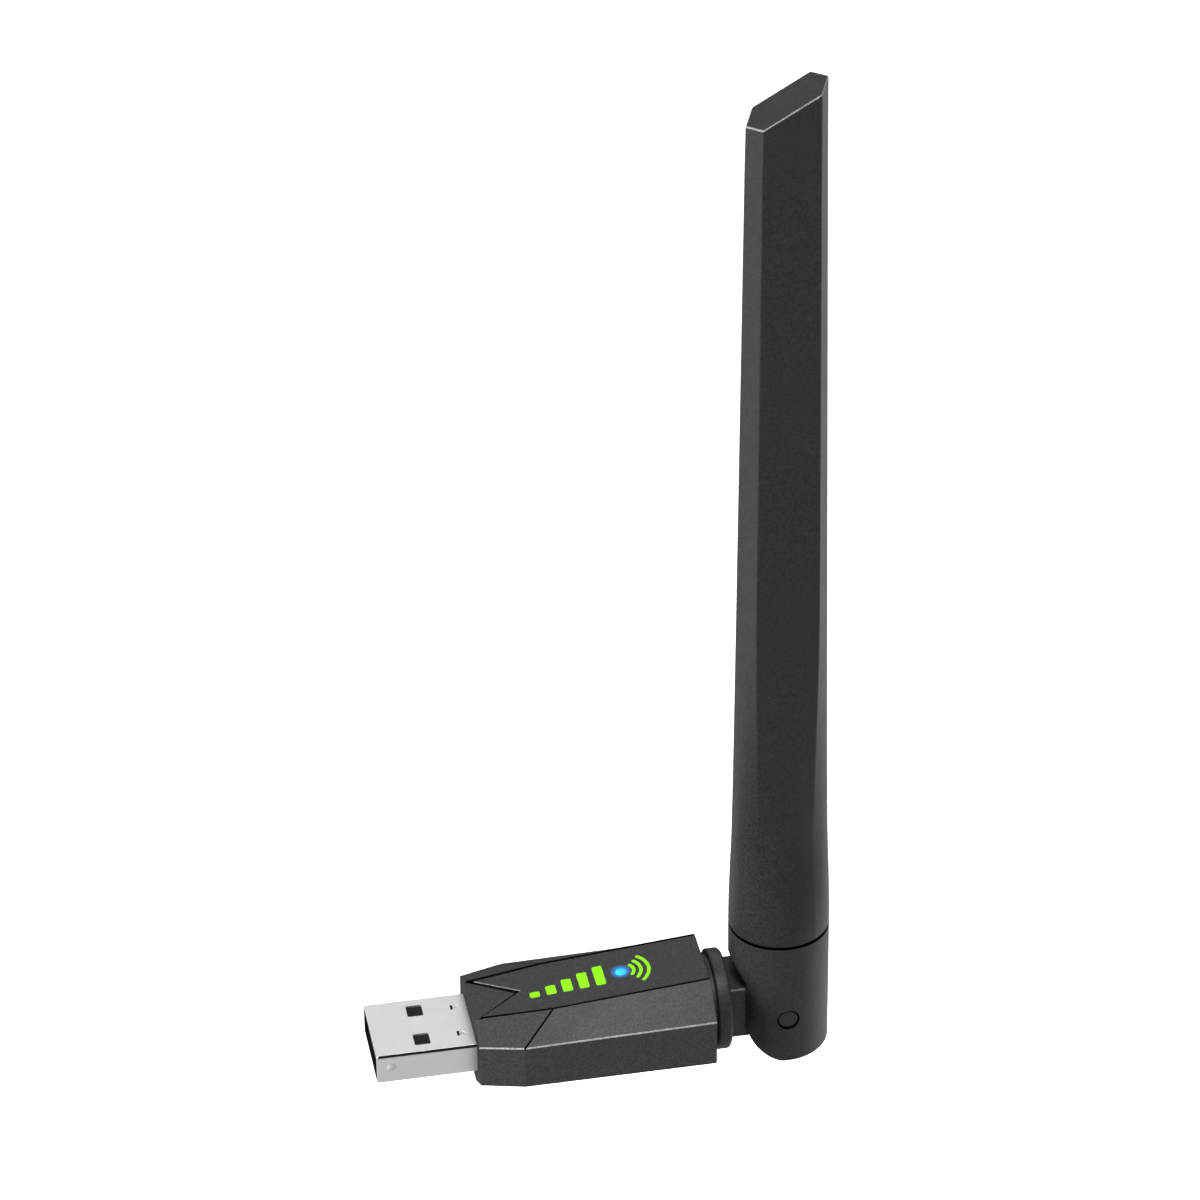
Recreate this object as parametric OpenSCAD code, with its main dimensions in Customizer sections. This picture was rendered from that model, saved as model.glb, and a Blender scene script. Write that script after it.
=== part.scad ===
// A USB radio adapter: a metal plug, a faceted case and a tall blade antenna
// on a joint that swivels about the case's long axis and folds flat.
// All lengths are in millimetres and +Z is up.
// The origin is the middle of the plug's open mouth. +X runs along the case
// towards the antenna, and the antenna stands along +Z at rest.

/* [Plug] */
// Width of the metal plug, across Y
plug_width = 12.0;  // [10:0.1:14.4]
// Height of the metal plug, along Z
plug_height = 4.5;  // [4.4:0.05:4.8]
// Length of plug that stands out of the case
plug_reach = 13.5;  // [11.2:0.1:16.2]
// Thickness of the plug's sheet metal
plug_sheet = 0.3;  // [0.25:0.05:0.4]
// Outside bend radius of the plug's long edges
plug_bend = 0.6;  // [0.45:0.05:0.9]
// Width of each square window in the plug, across Y
window_width = 2.4;  // [2:0.1:2.9]
// Length of each window, along X
window_length = 2.15;  // [1.8:0.05:2.6]

/* [Case] */
// Length of the case, from the nose face to the tail face
case_length = 31.8;  // [30.5:0.1:38.2]
// Greatest width of the case
case_width = 19.3;  // [18.6:0.1:23]
// Width of the case at its nose face
nose_width = 16.3;  // [15.6:0.1:17.2]
// Length of the tapered nose, measured along the side
nose_taper = 5.85;  // [4.5:0.05:7]
// Width of the flat top panel
panel_width = 10.4;  // [9.4:0.1:11.6]
// Width of the top panel at the nose face
panel_nose = 8.55;  // [8:0.05:9.2]
// Distance from the nose face to the corner in the panel's edge
panel_corner = 10.5;  // [9:0.1:12]
// Height of the panel at the nose, above the plug's centre line
nose_height = 5.25;  // [5:0.05:6]
// Height of the panel at the tail
tail_height = 7.95;  // [7.2:0.05:9.5]
// Height of the side ridge at the nose
ridge_nose = 3.4;  // [3.1:0.05:3.8]
// Height of the side ridge at the tail
ridge_tail = 3.9;  // [3.6:0.05:4.4]
// Drop from the plug's centre line to the seam between the two shells
seam_drop = 2.8;  // [2.7:0.05:3]
// Drop from the plug's centre line to the flat belly
belly_drop = 5.2;  // [5:0.05:6.2]
// Wall thickness of both shells
case_wall = 1.0;  // [0.9:0.05:1.2]
// Thickness of the separate top panel
panel_thickness = 1.0;  // [0.8:0.05:1.1]
// Distance from the nose face to the point of the panel's notch
notch_reach = 6.5;  // [5:0.1:8]

/* [Swivel] */
// Height of the swivel axis above the plug's centre line
axis_height = 0.6;  // [0.45:0.05:0.7]
// Radius of the round swivel disc
disc_radius = 6.85;  // [6.4:0.05:7.2]
// Thickness of the swivel disc
disc_thickness = 2.0;  // [1.7:0.1:2.1]
// Radius of the thinner collar between the disc and the case
collar_radius = 6.1;  // [5.6:0.1:6.4]
// Thickness of the collar
collar_thickness = 0.6;  // [0.5:0.1:0.8]
// Radius of the hollow shaft that turns in the case
shaft_radius = 3.0;  // [2.85:0.05:3.1]
// Radial running clearance of the shaft and of the hinge pins
running_fit = 0.05;  // [0.03:0.01:0.1]
// Gap between faces that move past one another
moving_gap = 0.3;  // [0.25:0.05:0.4]
// Radius of the cable passage through the shaft
passage_radius = 1.4;  // [1.1:0.1:1.5]

/* [Hinge] */
// Distance from the case's tail face to the fold axis
hinge_reach = 10.4;  // [10.1:0.1:12.4]
// Width of the neck between the fork's ears
neck_width = 7.9;  // [7.2:0.1:8.1]
// Height of the neck, and diameter of its rounded eye
neck_height = 7.9;  // [7.2:0.1:8.1]
// Radius of the two short hinge pins
pin_radius = 1.3;  // [1.1:0.05:1.5]

/* [Antenna] */
// Diameter of the round antenna base
base_diameter = 13.55;  // [13.2:0.05:14]
// Distance from the fold axis up to the line between base and cover
base_height = 11.7;  // [11:0.1:14]
// Distance from the fold axis down to the foot of the ears
foot_drop = 6.95;  // [6.6:0.05:7.1]
// Radius of the round on the side of the foot that faces the case
foot_round = 6.05;  // [5.8:0.05:6.2]
// Radius of the foot's outer edge
foot_edge = 0.35;  // [0.2:0.05:0.6]
// Distance from the fold axis up to the middle of the slanted top
antenna_height = 133.8;  // [112:0.1:160]
// Slant of the top, in degrees
top_slant = 29.8;  // [0:0.1:35]
// Width of the blade across its side edges, low down
blade_width_low = 13.3;  // [12.6:0.05:13.4]
// Width of the blade across its side edges, at the top
blade_width_top = 10.25;  // [9.6:0.05:11.4]
// Width of the flat front face, low down
face_width_low = 9.0;  // [8.4:0.1:9.6]
// Width of the flat front face, at the top
face_width_top = 7.25;  // [6.6:0.05:8]
// Depth of the blade from front to back, low down
blade_depth_low = 8.55;  // [8.2:0.05:9]
// Depth of the blade from front to back, at the top
blade_depth_top = 6.6;  // [6.4:0.05:7.6]
// Wall thickness of the cover
cover_wall = 1.1;  // [1:0.05:1.2]
// Distance from the fold axis up to the foot of the radiating sleeve
sleeve_start = 18.0;  // [17.5:0.1:20]
// Length of the radiating sleeve
sleeve_length = 29.0;  // [26:0.1:30]
// Distance from the slanted top's middle down to the tip of the radiator
tip_drop = 17.5;  // [12:0.1:20]
// Height of the groove between the base and the cover
cover_groove = 0.35;  // [0.2:0.05:0.5]

/* [Electronics] */
// Length of the circuit board
board_length = 20.8;  // [19.5:0.1:20.8]
// Width of the circuit board
board_width = 16.0;  // [15:0.1:16.2]
// Thickness of the circuit board
board_thickness = 0.8;  // [0.6:0.1:1]
// Outside diameter of the coaxial cable
cable_diameter = 1.37;  // [1.1:0.01:1.8]
// Radius of the light pipe's visible end
pipe_radius = 0.8;  // [0.6:0.05:1]
// Distance from the nose face to the light pipe
pipe_reach = 20.6;  // [20:0.1:21.4]

/* [Hidden] */

$fn = 64;
close_fit = 0.05;
x_nose = plug_reach;
x_tail = plug_reach + case_length;
x_shoulder = x_nose + nose_taper;
x_corner = x_nose + panel_corner;
x_hinge = x_tail + hinge_reach;
panel_rise = (tail_height - nose_height) / case_length;
panel_tilt = atan(panel_rise);
ridge_rise = (ridge_tail - ridge_nose) / case_length;
plug_end = plug_reach + 5.25;
board_top = -0.3;
board_start = x_nose + 5.5;
x_disc = x_tail + moving_gap + collar_thickness;
x_neck = x_disc + disc_thickness;
hinge_z = axis_height;
slot_half = neck_width / 2 + moving_gap;
slot_radius = neck_height / 2 + moving_gap + 0.15;
base_radius = base_diameter / 2;
cover_start = hinge_z + base_height + cover_groove;
pipe_x = x_nose + pipe_reach;
cable_radius = cable_diameter / 2;
sleeve_radius = cable_radius + 1.4;
wire_start = sleeve_start + sleeve_length + 1;

// Height of the top panel's plane at x.
function panel_z(x) = nose_height + panel_rise * (x - x_nose);

// Height of the side ridge at x.
function ridge_z(x) = ridge_nose + ridge_rise * (x - x_nose);

// Half width of the case at x.
function side_y(x) = min(case_width / 2,
    nose_width / 2 + (case_width - nose_width) / 2 * (x - x_nose) / nose_taper);

// Half width of the top panel at x.
function panel_y(x) = min(panel_width / 2,
    panel_nose / 2 + (panel_width - panel_nose) / 2 * (x - x_nose) / panel_corner);

// One cross-section of the upper case at x: six points, drawn in by inset.
function upper_section(x, inset, low, top_inset, at) = [
    [at, -(side_y(x) - inset), low],
    [at, side_y(x) - inset, low],
    [at, side_y(x) - inset, ridge_z(x) - inset * 0.5],
    [at, panel_y(x) - inset * 0.4, panel_z(x) - top_inset],
    [at, -(panel_y(x) - inset * 0.4), panel_z(x) - top_inset],
    [at, -(side_y(x) - inset), ridge_z(x) - inset * 0.5]];

// One cross-section of the lower case at x: four points, drawn in by inset.
function lower_section(x, inset, high, at) = [
    [at, -(belly_y(x) - inset * 0.5), -belly_drop + inset],
    [at, belly_y(x) - inset * 0.5, -belly_drop + inset],
    [at, side_y(x) - inset, high],
    [at, -(side_y(x) - inset), high]];

// Half width of the flat belly at x.
function belly_y(x) = side_y(x) - 4.05;

// Blend from 0 at a to 1 at b, with a soft start and end.
function ease(a, b, h) = let (t = max(0, min(1, (h - a) / (b - a)))) t * t * (3 - 2 * t);

// Linear blend between two numbers.
function mix(a, b, t) = a + (b - a) * t;

// A corner of the blade's six-sided section, from its half width, half face
// and half depth.
function blade_corner(i, g, f, d) = [[g, 0], [f, d], [-f, d], [-g, 0], [-f, -d], [f, -d]][i % 6];

// A point of the blade's section at height h above the fold axis.
function blade_point(k, h, inset) =
    let (i = floor(k / 8), s = (k % 8) / 8,
         t = (h - base_height) / (antenna_height - base_height),
         flare = 1 - ease(base_height, 28, h),
         soft = 1 - ease(20, 64, h),
         g = mix(blade_width_low, blade_width_top, t) / 2 - inset,
         f = mix(face_width_low, face_width_top, t) / 2 - inset * 0.6,
         d = mix(blade_depth_low, blade_depth_top, t) / 2 - inset,
         a = blade_corner(i, g, f, d), b = blade_corner(i + 1, g, f, d),
         hex = a * (1 - s) + b * s,
         ang = atan2(hex[1] / d, hex[0] / g),
         wide = mix(g, base_radius - inset, flare),
         deep = mix(d * 1.06, base_radius - inset, flare),
         oval = [wide * cos(ang), deep * sin(ang)])
    hex * (1 - soft) + oval * soft;

// Heights of the blade's cross-sections above the fold axis.
function blade_levels(low) = [low, 14.2, 16.5, 19, 22, 25, 28, 33, 39, 46, 54, 64, 98];

// The middle of a list of points.
function middle(points) = [for (i = [0 : 2])
    [for (p = points) p[i]] * [for (p = points) 1] / len(points)];

// Faces that join count cross-sections of n points each, and close both ends
// round a middle point. A true entry in bend turns that strip's diagonal.
function loft_faces(count, n, bend) = concat(
    [for (j = [0 : n - 1]) [j, (j + 1) % n, count * n]],
    [for (j = [0 : n - 1])
        [(count - 1) * n + (j + 1) % n, (count - 1) * n + j, count * n + 1]],
    [for (i = [0 : count - 2]) for (j = [0 : n - 1]) for (half = [0, 1])
        let (a = i * n + j, a2 = i * n + (j + 1) % n,
             b = a + n, b2 = a2 + n)
        bend[j] ? (half == 0 ? [a, b, a2] : [a2, b, b2])
                : (half == 0 ? [a, b, b2] : [a, b2, a2])]);

// A solid through a list of cross-sections that all have as many points.
module loft(sections, bend) {
    n = len(sections[0]);
    polyhedron(points = concat([for (s = sections) for (p = s) p],
                               [middle(sections[0]), middle(sections[len(sections) - 1])]),
               faces = loft_faces(len(sections), n, bend), convexity = 6);
}

// A cylinder along X from x0 to x1.
module rod_x(x0, x1, radius) {
    translate([x0, 0, 0])
        rotate([0, 90, 0])
            cylinder(h = x1 - x0, r = radius);
}

// A cylinder along Y from y0 to y1.
module rod_y(y0, y1, radius) {
    translate([0, y1, 0])
        rotate([90, 0, 0])
            cylinder(h = y1 - y0, r = radius);
}

// A box between two opposite corners.
module block(low, high) {
    translate(low)
        cube(high - low);
}

// A bar along X with four rounded long edges.
module rounded_bar(x0, x1, half_y, half_z, r) {
    block([x0, -half_y + r, -half_z], [x1, half_y - r, half_z]);
    block([x0, -half_y, -half_z + r], [x1, half_y, half_z - r]);
    for (y = [-1, 1]) {
        for (z = [-1, 1]) {
            translate([0, y * (half_y - r), z * (half_z - r)])
                rod_x(x0, x1, r);
        }
    }
}

// The flat outline of the top panel, grown by grow on its free sides.
module panel_outline(grow, tail) {
    polygon([[x_nose + 0.55 - grow * 2.6, panel_nose / 2 - 0.1 + grow],
             [x_nose + notch_reach - grow * 1.9, 0],
             [x_nose + 0.55 - grow * 2.6, -(panel_nose / 2 - 0.1 + grow)],
             [x_corner, -(panel_width / 2 - 0.1 + grow)],
             [tail, -(panel_width / 2 - 0.1 + grow)],
             [tail, panel_width / 2 - 0.1 + grow],
             [x_corner, panel_width / 2 - 0.1 + grow]]);
}

// Places flat things on the top panel's sloping plane.
module on_panel(depth) {
    translate([x_nose, 0, nose_height])
        rotate([0, -panel_tilt, 0])
            translate([-x_nose, 0, -depth])
                children();
}

// The thin style groove that crosses one sloping side of the nose.
module side_groove(side) {
    low = [x_shoulder, side * case_width / 2, ridge_z(x_shoulder)];
    high = [x_corner, side * panel_width / 2, panel_z(x_corner)];
    run = high - low;
    span = norm(run);
    along = run / span;
    flat = [along[1], -along[0], 0] / norm([along[1], -along[0], 0]) * -side;
    out = [flat[1] * along[2] - flat[2] * along[1],
           flat[2] * along[0] - flat[0] * along[2],
           flat[0] * along[1] - flat[1] * along[0]];
    face = out[2] > 0 ? out : -out;
    across = [face[1] * along[2] - face[2] * along[1],
              face[2] * along[0] - face[0] * along[2],
              face[0] * along[1] - face[1] * along[0]];
    multmatrix([[along[0], across[0], face[0], low[0]],
                [along[1], across[1], face[1], low[1]],
                [along[2], across[2], face[2], low[2]],
                [0, 0, 0, 1]])
        translate([-0.6, -0.1, -0.2])
            cube([span + 1.2, 0.2, 1]);
}

// Folded sheet-metal plug shell with its windows, latch slots and board legs.
module usb_shell() {
    color("#D8D8D8")
    difference() {
        union() {
            rounded_bar(0, plug_end, plug_width / 2, plug_height / 2, plug_bend);
            for (side = [-1, 1]) {
                leg_y = side * (plug_width / 2 - plug_sheet / 2);
                block([plug_end - 0.5, leg_y - plug_sheet / 2, 0.2],
                      [plug_end + 2.3, leg_y + plug_sheet / 2, 1.6]);
                block([plug_end + 1.1, leg_y - plug_sheet / 2, -2.0],
                      [plug_end + 2.3, leg_y + plug_sheet / 2, 0.3]);
            }
        }
        rounded_bar(-1, plug_end + 0.1, plug_width / 2 - plug_sheet,
                    plug_height / 2 - plug_sheet, plug_bend - plug_sheet);
        for (side = [-1, 1]) {
            block([6.5 - window_length / 2, side * 3.15 - window_width / 2, -4],
                  [6.5 + window_length / 2, side * 3.15 + window_width / 2, 4]);
            block([11.3, side * 2.9 - 0.55, -4],
                  [11.65, side * 2.9 + 0.55, 4]);
        }
    }
}

// Black insulator block with its tongue and four contact channels.
module usb_insulator() {
    half = plug_width / 2 - plug_sheet - 0.05;
    low = -(plug_height / 2 - plug_sheet - 0.02);
    color("#17181A")
    difference() {
        union() {
            block([0.5, -half + 0.3, low], [plug_end - 0.2, half - 0.3, -0.1]);
            block([10.6, -half + 0.3, -0.2], [plug_end - 0.2, half - 0.3, -low]);
        }
        for (y = [-3.5, -1, 1, 3.5]) {
            block([abs(y) > 2 ? 1.4 : 2.4, y - 0.55, -0.27],
                  [plug_end, y + 0.55, 0.03]);
        }
    }
}

// Four flat gold contacts; the two outer ones reach nearer the mouth.
module usb_contacts() {
    color("#D9B25A")
    for (y = [-3.5, -1, 1, 3.5]) {
        block([abs(y) > 2 ? 1.5 : 2.5, y - 0.5, -0.25],
              [board_start + 2.2, y + 0.5, -0.05]);
    }
}

// Upper case shell: faceted sides, panel pocket, plug notch, swivel bearing.
module upper_shell() {
    outer = [for (x = [x_nose, x_shoulder, x_corner, x_nose + 17.5,
                       x_nose + 24.5, x_tail])
             upper_section(x, 0, -seam_drop, 0, x)];
    inner = [for (x = [x_nose, x_shoulder, x_corner, x_nose + 17.5,
                       x_nose + 24.5, x_tail])
             upper_section(x, case_wall, -seam_drop - 1,
                           panel_thickness + 1.2,
                           x == x_nose ? x_nose + case_wall
                                       : x == x_tail ? x_tail - case_wall : x)];
    bend = [false, false, false, false, true, false];
    color("#343536")
    difference() {
        union() {
            difference() {
                loft(outer, bend);
                loft(inner, bend);
            }
            intersection() {
                translate([0, 0, axis_height])
                    rod_x(x_tail - 3.35, x_tail - 0.5, shaft_radius + 1.2);
                block([x_tail - 4, -6, -seam_drop], [x_tail, 6, 7]);
            }
            translate([pipe_x, 0, 0])
                translate([0, 0, 3.4])
                    cylinder(h = 1.4, r = pipe_radius + 1.4);
        }
        on_panel(panel_thickness)
            linear_extrude(height = panel_thickness + 1)
                panel_outline(0.06, x_tail + 2);
        on_panel(0.28)
            linear_extrude(height = 1.5)
                polygon([[x_nose - 1, panel_nose / 2 - 0.05],
                         [x_nose + 0.6, panel_nose / 2 - 0.05],
                         [x_nose + notch_reach, 0],
                         [x_nose + 0.6, -(panel_nose / 2 - 0.05)],
                         [x_nose - 1, -(panel_nose / 2 - 0.05)]]);
        block([x_nose - 1, -plug_width / 2 - close_fit, -seam_drop - 1],
              [x_nose + case_wall + 1, plug_width / 2 + close_fit, 0]);
        rounded_bar(x_nose - 1, x_nose + case_wall + 1,
                    plug_width / 2 + close_fit, plug_height / 2 + close_fit,
                    plug_bend);
        translate([0, 0, axis_height])
            rod_x(x_tail - 5, x_tail + 1, shaft_radius + running_fit);
        translate([pipe_x, 0, 0])
            cylinder(h = 10, r = pipe_radius + 0.25 + close_fit);
        for (side = [-1, 1]) {
            side_groove(side);
            for (x = [x_nose + 10, x_nose + 25]) {
                block([x, side * (case_width / 2 - case_wall + 0.15) - 0.25, -2.55],
                      [x + 3.2, side * (case_width / 2 - case_wall + 0.15) + 0.25, -1.9]);
            }
        }
    }
}

// Lower case shell: faceted belly, board posts, snap lips, tongue below plug.
module lower_shell() {
    outer = [for (x = [x_nose, x_shoulder, x_tail])
             lower_section(x, 0, -seam_drop - 0.06, x)];
    inner = [for (x = [x_nose, x_shoulder, x_tail])
             lower_section(x, case_wall, -seam_drop + 1,
                           x == x_nose ? x_nose + case_wall
                                       : x == x_tail ? x_tail - case_wall : x)];
    rim = case_width / 2 - case_wall - close_fit;
    post_top = board_top - board_thickness - 0.03;
    color("#2C2D2E")
    difference() {
        union() {
            difference() {
                loft(outer, [false, false, false, false]);
                loft(inner, [false, false, false, false]);
            }
            block([x_nose, -plug_width / 2 + 0.05, -seam_drop - 0.5],
                  [x_nose + case_wall, plug_width / 2 - 0.05,
                   -plug_height / 2 - close_fit]);
            for (side = [-1, 1]) {
                block([x_nose + 8, side * (rim - 0.35) - 0.35, -seam_drop - 0.4],
                      [x_tail - 2.2, side * (rim - 0.35) + 0.35, -1.7]);
                for (x = [x_nose + 10.2, x_nose + 25.2]) {
                    block([x, side * (rim - 0.05) - 0.25, -2.45],
                          [x + 2.8, side * (rim - 0.05) + 0.25, -2.05]);
                }
                translate([x_nose + 24, side * 5.2, -4.3])
                    cylinder(h = post_top + 4.3, r = 1.2);
                translate([x_nose + 24, side * 5.2, -4.3])
                    cylinder(h = 3.9, r = 0.72);
                translate([x_nose + 9.3, side * 4.9, -4.3])
                    cylinder(h = post_top + 4.3, r = 1.0);
            }
        }
        block([x_nose + 8, -3.6, -belly_drop - 1],
              [x_tail - 5, 3.6, -belly_drop + 0.25]);
        translate([0, 0, axis_height])
            rod_x(x_tail - 5, x_tail + 1, shaft_radius + running_fit);
    }
}

// Separate flat top panel with its arrow notch and light hole.
module top_panel() {
    color("#3A3B3D")
    difference() {
        on_panel(panel_thickness - close_fit)
            linear_extrude(height = panel_thickness - close_fit)
                panel_outline(-0.06, x_tail - 0.02);
        translate([pipe_x, 0, 0])
            cylinder(h = 10, r = pipe_radius + close_fit);
        block([x_tail - 0.02, -10, 0], [x_tail + 5, 10, 15]);
    }
}

// Green circuit board with slots for the plug's legs and two post holes.
module circuit_board() {
    color("#1F5B3A")
    difference() {
        block([board_start, -board_width / 2, board_top - board_thickness],
              [board_start + board_length, board_width / 2, board_top]);
        for (side = [-1, 1]) {
            block([plug_end + 0.9, side * (plug_width / 2 - 0.15) - 0.4, -3],
                  [plug_end + 2.5, side * (plug_width / 2 - 0.15) + 0.4, 1]);
            translate([x_nose + 24, side * 5.2, -3])
                cylinder(h = 4, r = 0.78);
        }
    }
}

// Square radio chip under the shield.
module wifi_chip() {
    color("#202124")
    block([x_nose + 10.7, -4.6, board_top + 0.02],
          [x_nose + 16.7, 1.4, board_top + 0.87]);
}

// Thin folded shield over the radio chip, open at the board.
module shield_can() {
    color("#B9BBBD")
    difference() {
        block([x_nose + 9.7, -5.5, board_top + 0.02],
              [x_nose + 18.7, 5.5, board_top + 1.8]);
        block([x_nose + 9.9, -5.3, board_top - 1],
              [x_nose + 18.5, 5.3, board_top + 1.6]);
        for (y = [-3.5, 0, 3.5]) {
            for (x = [x_nose + 11.7, x_nose + 16.7]) {
                translate([x, y, 0])
                    cylinder(h = 3, r = 0.4, $fn = 24);
            }
        }
    }
}

// Small metal-lidded crystal beside the radio chip.
module crystal() {
    color("#C9CACC")
    block([x_nose + 12.2, 2.6, board_top + 0.02],
          [x_nose + 14.7, 4.6, board_top + 0.6]);
}

// Voltage regulator with six small leads.
module power_chip() {
    cx = x_nose + 20.9;
    cy = -5.6;
    color("#2A2B2D")
    union() {
        block([cx - 1.45, cy - 0.8, board_top + 0.1],
              [cx + 1.45, cy + 0.8, board_top + 1.15]);
        for (x = [-0.95, 0, 0.95]) {
            block([cx + x - 0.2, cy - 1.4, board_top + 0.02],
                  [cx + x + 0.2, cy + 1.4, board_top + 0.17]);
        }
    }
}

// Square power inductor with rounded winding cap.
module power_coil() {
    color("#4A4742")
    union() {
        block([x_nose + 19.5, 4.3, board_top + 0.02],
              [x_nose + 22.5, 7.3, board_top + 1.0]);
        translate([x_nose + 21, 5.8, board_top + 0.9])
            cylinder(h = 0.5, r = 1.25);
    }
}

// Tiny capacitors and resistors along the board.
module chip_parts() {
    color("#9A7B55")
    for (p = [[8.2, 6.6], [8.2, -6.6], [11.5, 6.7], [14, 6.7], [11.5, -6.7],
              [14, -6.7], [16.5, -6.7], [19.8, 1.9], [19.8, -1.9], [22.6, 1.9]]) {
        block([x_nose + p[0] - 0.5, p[1] - 0.25, board_top + 0.02],
              [x_nose + p[0] + 0.5, p[1] + 0.25, board_top + 0.52]);
    }
}

// Blue indicator lamp on the board, below the light pipe.
module status_led() {
    color("#DDEBF5")
    union() {
        block([pipe_x - 0.8, -0.4, board_top + 0.02],
              [pipe_x + 0.8, 0.4, board_top + 0.3]);
        block([pipe_x - 0.5, -0.4, board_top + 0.25],
              [pipe_x + 0.5, 0.4, board_top + 0.6]);
    }
}

// Clear pipe that carries the lamp's light up to the panel.
module light_pipe() {
    color("#CFE8FF")
    difference() {
        union() {
            translate([pipe_x, 0, 0.5])
                cylinder(h = 9, r = pipe_radius);
            translate([pipe_x, 0, 0.5])
                cylinder(h = panel_z(pipe_x) - panel_thickness - 0.65, r = pipe_radius + 0.25);
            translate([pipe_x, 0, 0.5])
                cylinder(h = 2.8, r = pipe_radius + 0.7);
        }
        on_panel(0)
            block([x_nose, -5, 0], [x_tail, 5, 9]);
    }
}

// Soldered end of the cable on the board: centre pin and braid strap.
module cable_joint() {
    color("#C8CCD0")
    union() {
        translate([0, 0, axis_height])
            rod_x(x_nose + 23.2, x_nose + 24.8, 0.3);
        block([x_nose + 23.0, -0.6, board_top + 0.02],
              [x_nose + 24.0, 0.6, axis_height - 0.1]);
        block([x_nose + 24.9, -1.3, board_top + 0.02],
              [x_nose + 25.8, 1.3, axis_height - cable_radius - 0.02]);
    }
}

// First run of coaxial cable, from the board into the swivel.
module cable_inner() {
    color("#232426")
    translate([0, 0, axis_height])
        rod_x(x_nose + 24.85, x_tail - 4.75, cable_radius);
}

// Swivel knuckle: collar, disc, hollow shaft and the neck with its eye.
module swivel_knuckle() {
    color("#333435")
    translate([0, 0, axis_height])
    difference() {
        union() {
            rod_x(x_tail - 4.6, x_tail + 1, shaft_radius);
            rod_x(x_tail + moving_gap, x_disc + 0.1, collar_radius);
            rod_x(x_disc, x_neck - 0.35, disc_radius);
            rod_x(x_neck - 0.4, x_neck, disc_radius - 0.35);
            block([x_neck - 0.1, -neck_width / 2, -neck_height / 2],
                  [x_hinge, neck_width / 2, neck_height / 2]);
            translate([x_hinge, 0, 0])
                rod_y(-neck_width / 2, neck_width / 2, neck_height / 2);
        }
        rod_x(x_tail - 5, x_hinge, passage_radius);
        block([x_hinge - 1.6, -1.5, -1.6], [x_hinge + 5, 1.5, 5]);
        difference() {
            rod_x(x_tail - 4.25, x_tail - 3.55, shaft_radius + 1);
            rod_x(x_tail - 4.3, x_tail - 3.5, shaft_radius - 0.5);
        }
        difference() {
            rod_x(x_tail - 2.2, x_tail - 1.1, shaft_radius + 1);
            rod_x(x_tail - 2.3, x_tail - 1, shaft_radius - 0.85);
        }
        translate([x_hinge, 0, 0]) {
            rod_y(-neck_width, neck_width, pin_radius + running_fit);
            for (side = [-1, 1]) {
                translate([0, side * (neck_width / 2), 0])
                    rod_y(-0.5, 0.5, 2.7);
            }
        }
    }
}

// Split retaining clip that keeps the shaft in the case.
module swivel_clip() {
    color("#B4B6B8")
    translate([0, 0, axis_height])
    difference() {
        rod_x(x_tail - 4.18, x_tail - 3.62, shaft_radius + 0.9);
        rod_x(x_tail - 5, x_tail - 3, shaft_radius - 0.45);
        block([x_tail - 5, -1.6, -6], [x_tail - 3, 1.6, 0]);
    }
}

// Rubber ring in the shaft's groove that gives the swivel its drag.
module swivel_seal() {
    color("#1B1B1C")
    translate([x_tail - 1.65, 0, axis_height])
        rotate([0, 90, 0])
            rotate_extrude()
                translate([shaft_radius - 0.4, 0])
                    circle(r = 0.42, $fn = 32);
}

// Two thin washers let into the sides of the eye.
module hinge_washers() {
    color("#BFC1C3")
    for (side = [-1, 1]) {
        translate([x_hinge, side * (neck_width / 2 - 0.25), hinge_z])
        difference() {
            rod_y(-0.2, 0.2, 2.6);
            rod_y(-1, 1, pin_radius + 0.1);
        }
    }
}

// Middle run of cable, inside the shaft and neck.
module cable_middle() {
    color("#232426")
    translate([0, 0, axis_height])
        rod_x(x_tail - 4.5, x_hinge - 1.5, cable_radius);
}

// Round antenna base with a fork below and a spigot above.
module antenna_base() {
    color("#343536")
    translate([x_hinge, 0, hinge_z])
    difference() {
        union() {
            intersection() {
                rotate_extrude($fn = 96)
                    polygon([[0, -foot_drop],
                             [base_radius - foot_edge, -foot_drop],
                             [base_radius - 0.3 * foot_edge,
                              -foot_drop + 0.3 * foot_edge],
                             [base_radius, -foot_drop + foot_edge],
                             [base_radius, base_height], [0, base_height]]);
                union() {
                    translate([0.6, 0, foot_round - foot_drop])
                        rod_y(-9, 9, foot_round);
                    block([0.6, -9, -foot_drop], [9, 9, 3]);
                    block([-9, -9, foot_round - foot_drop],
                          [9, 9, base_height + 1]);
                }
            }
            cylinder(h = base_height + 3.5, r = base_radius - cover_wall - 0.6);
        }
        block([-9, -slot_half, -9], [0, slot_half, slot_radius]);
        block([-9, -slot_half, -9], [slot_radius, slot_half, 0]);
        rod_y(-slot_half, slot_half, slot_radius);
        translate([0, slot_half, 0])
            rotate([90, 0, 0])
                linear_extrude(height = 2 * slot_half)
                    polygon([[-5, slot_radius - 0.1], [-5, slot_radius],
                             [-8, slot_radius + 5], [-9, slot_radius + 5],
                             [-9, slot_radius - 0.1]]);
        cylinder(h = base_height + 9, r = 1.6);
        rod_y(-9, 9, pin_radius + 0.02);
        for (side = [-1, 1]) {
            translate([0, side * base_radius, 0])
                rod_y(-0.45, 0.45, pin_radius + 0.22);
        }
    }
}

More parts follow.
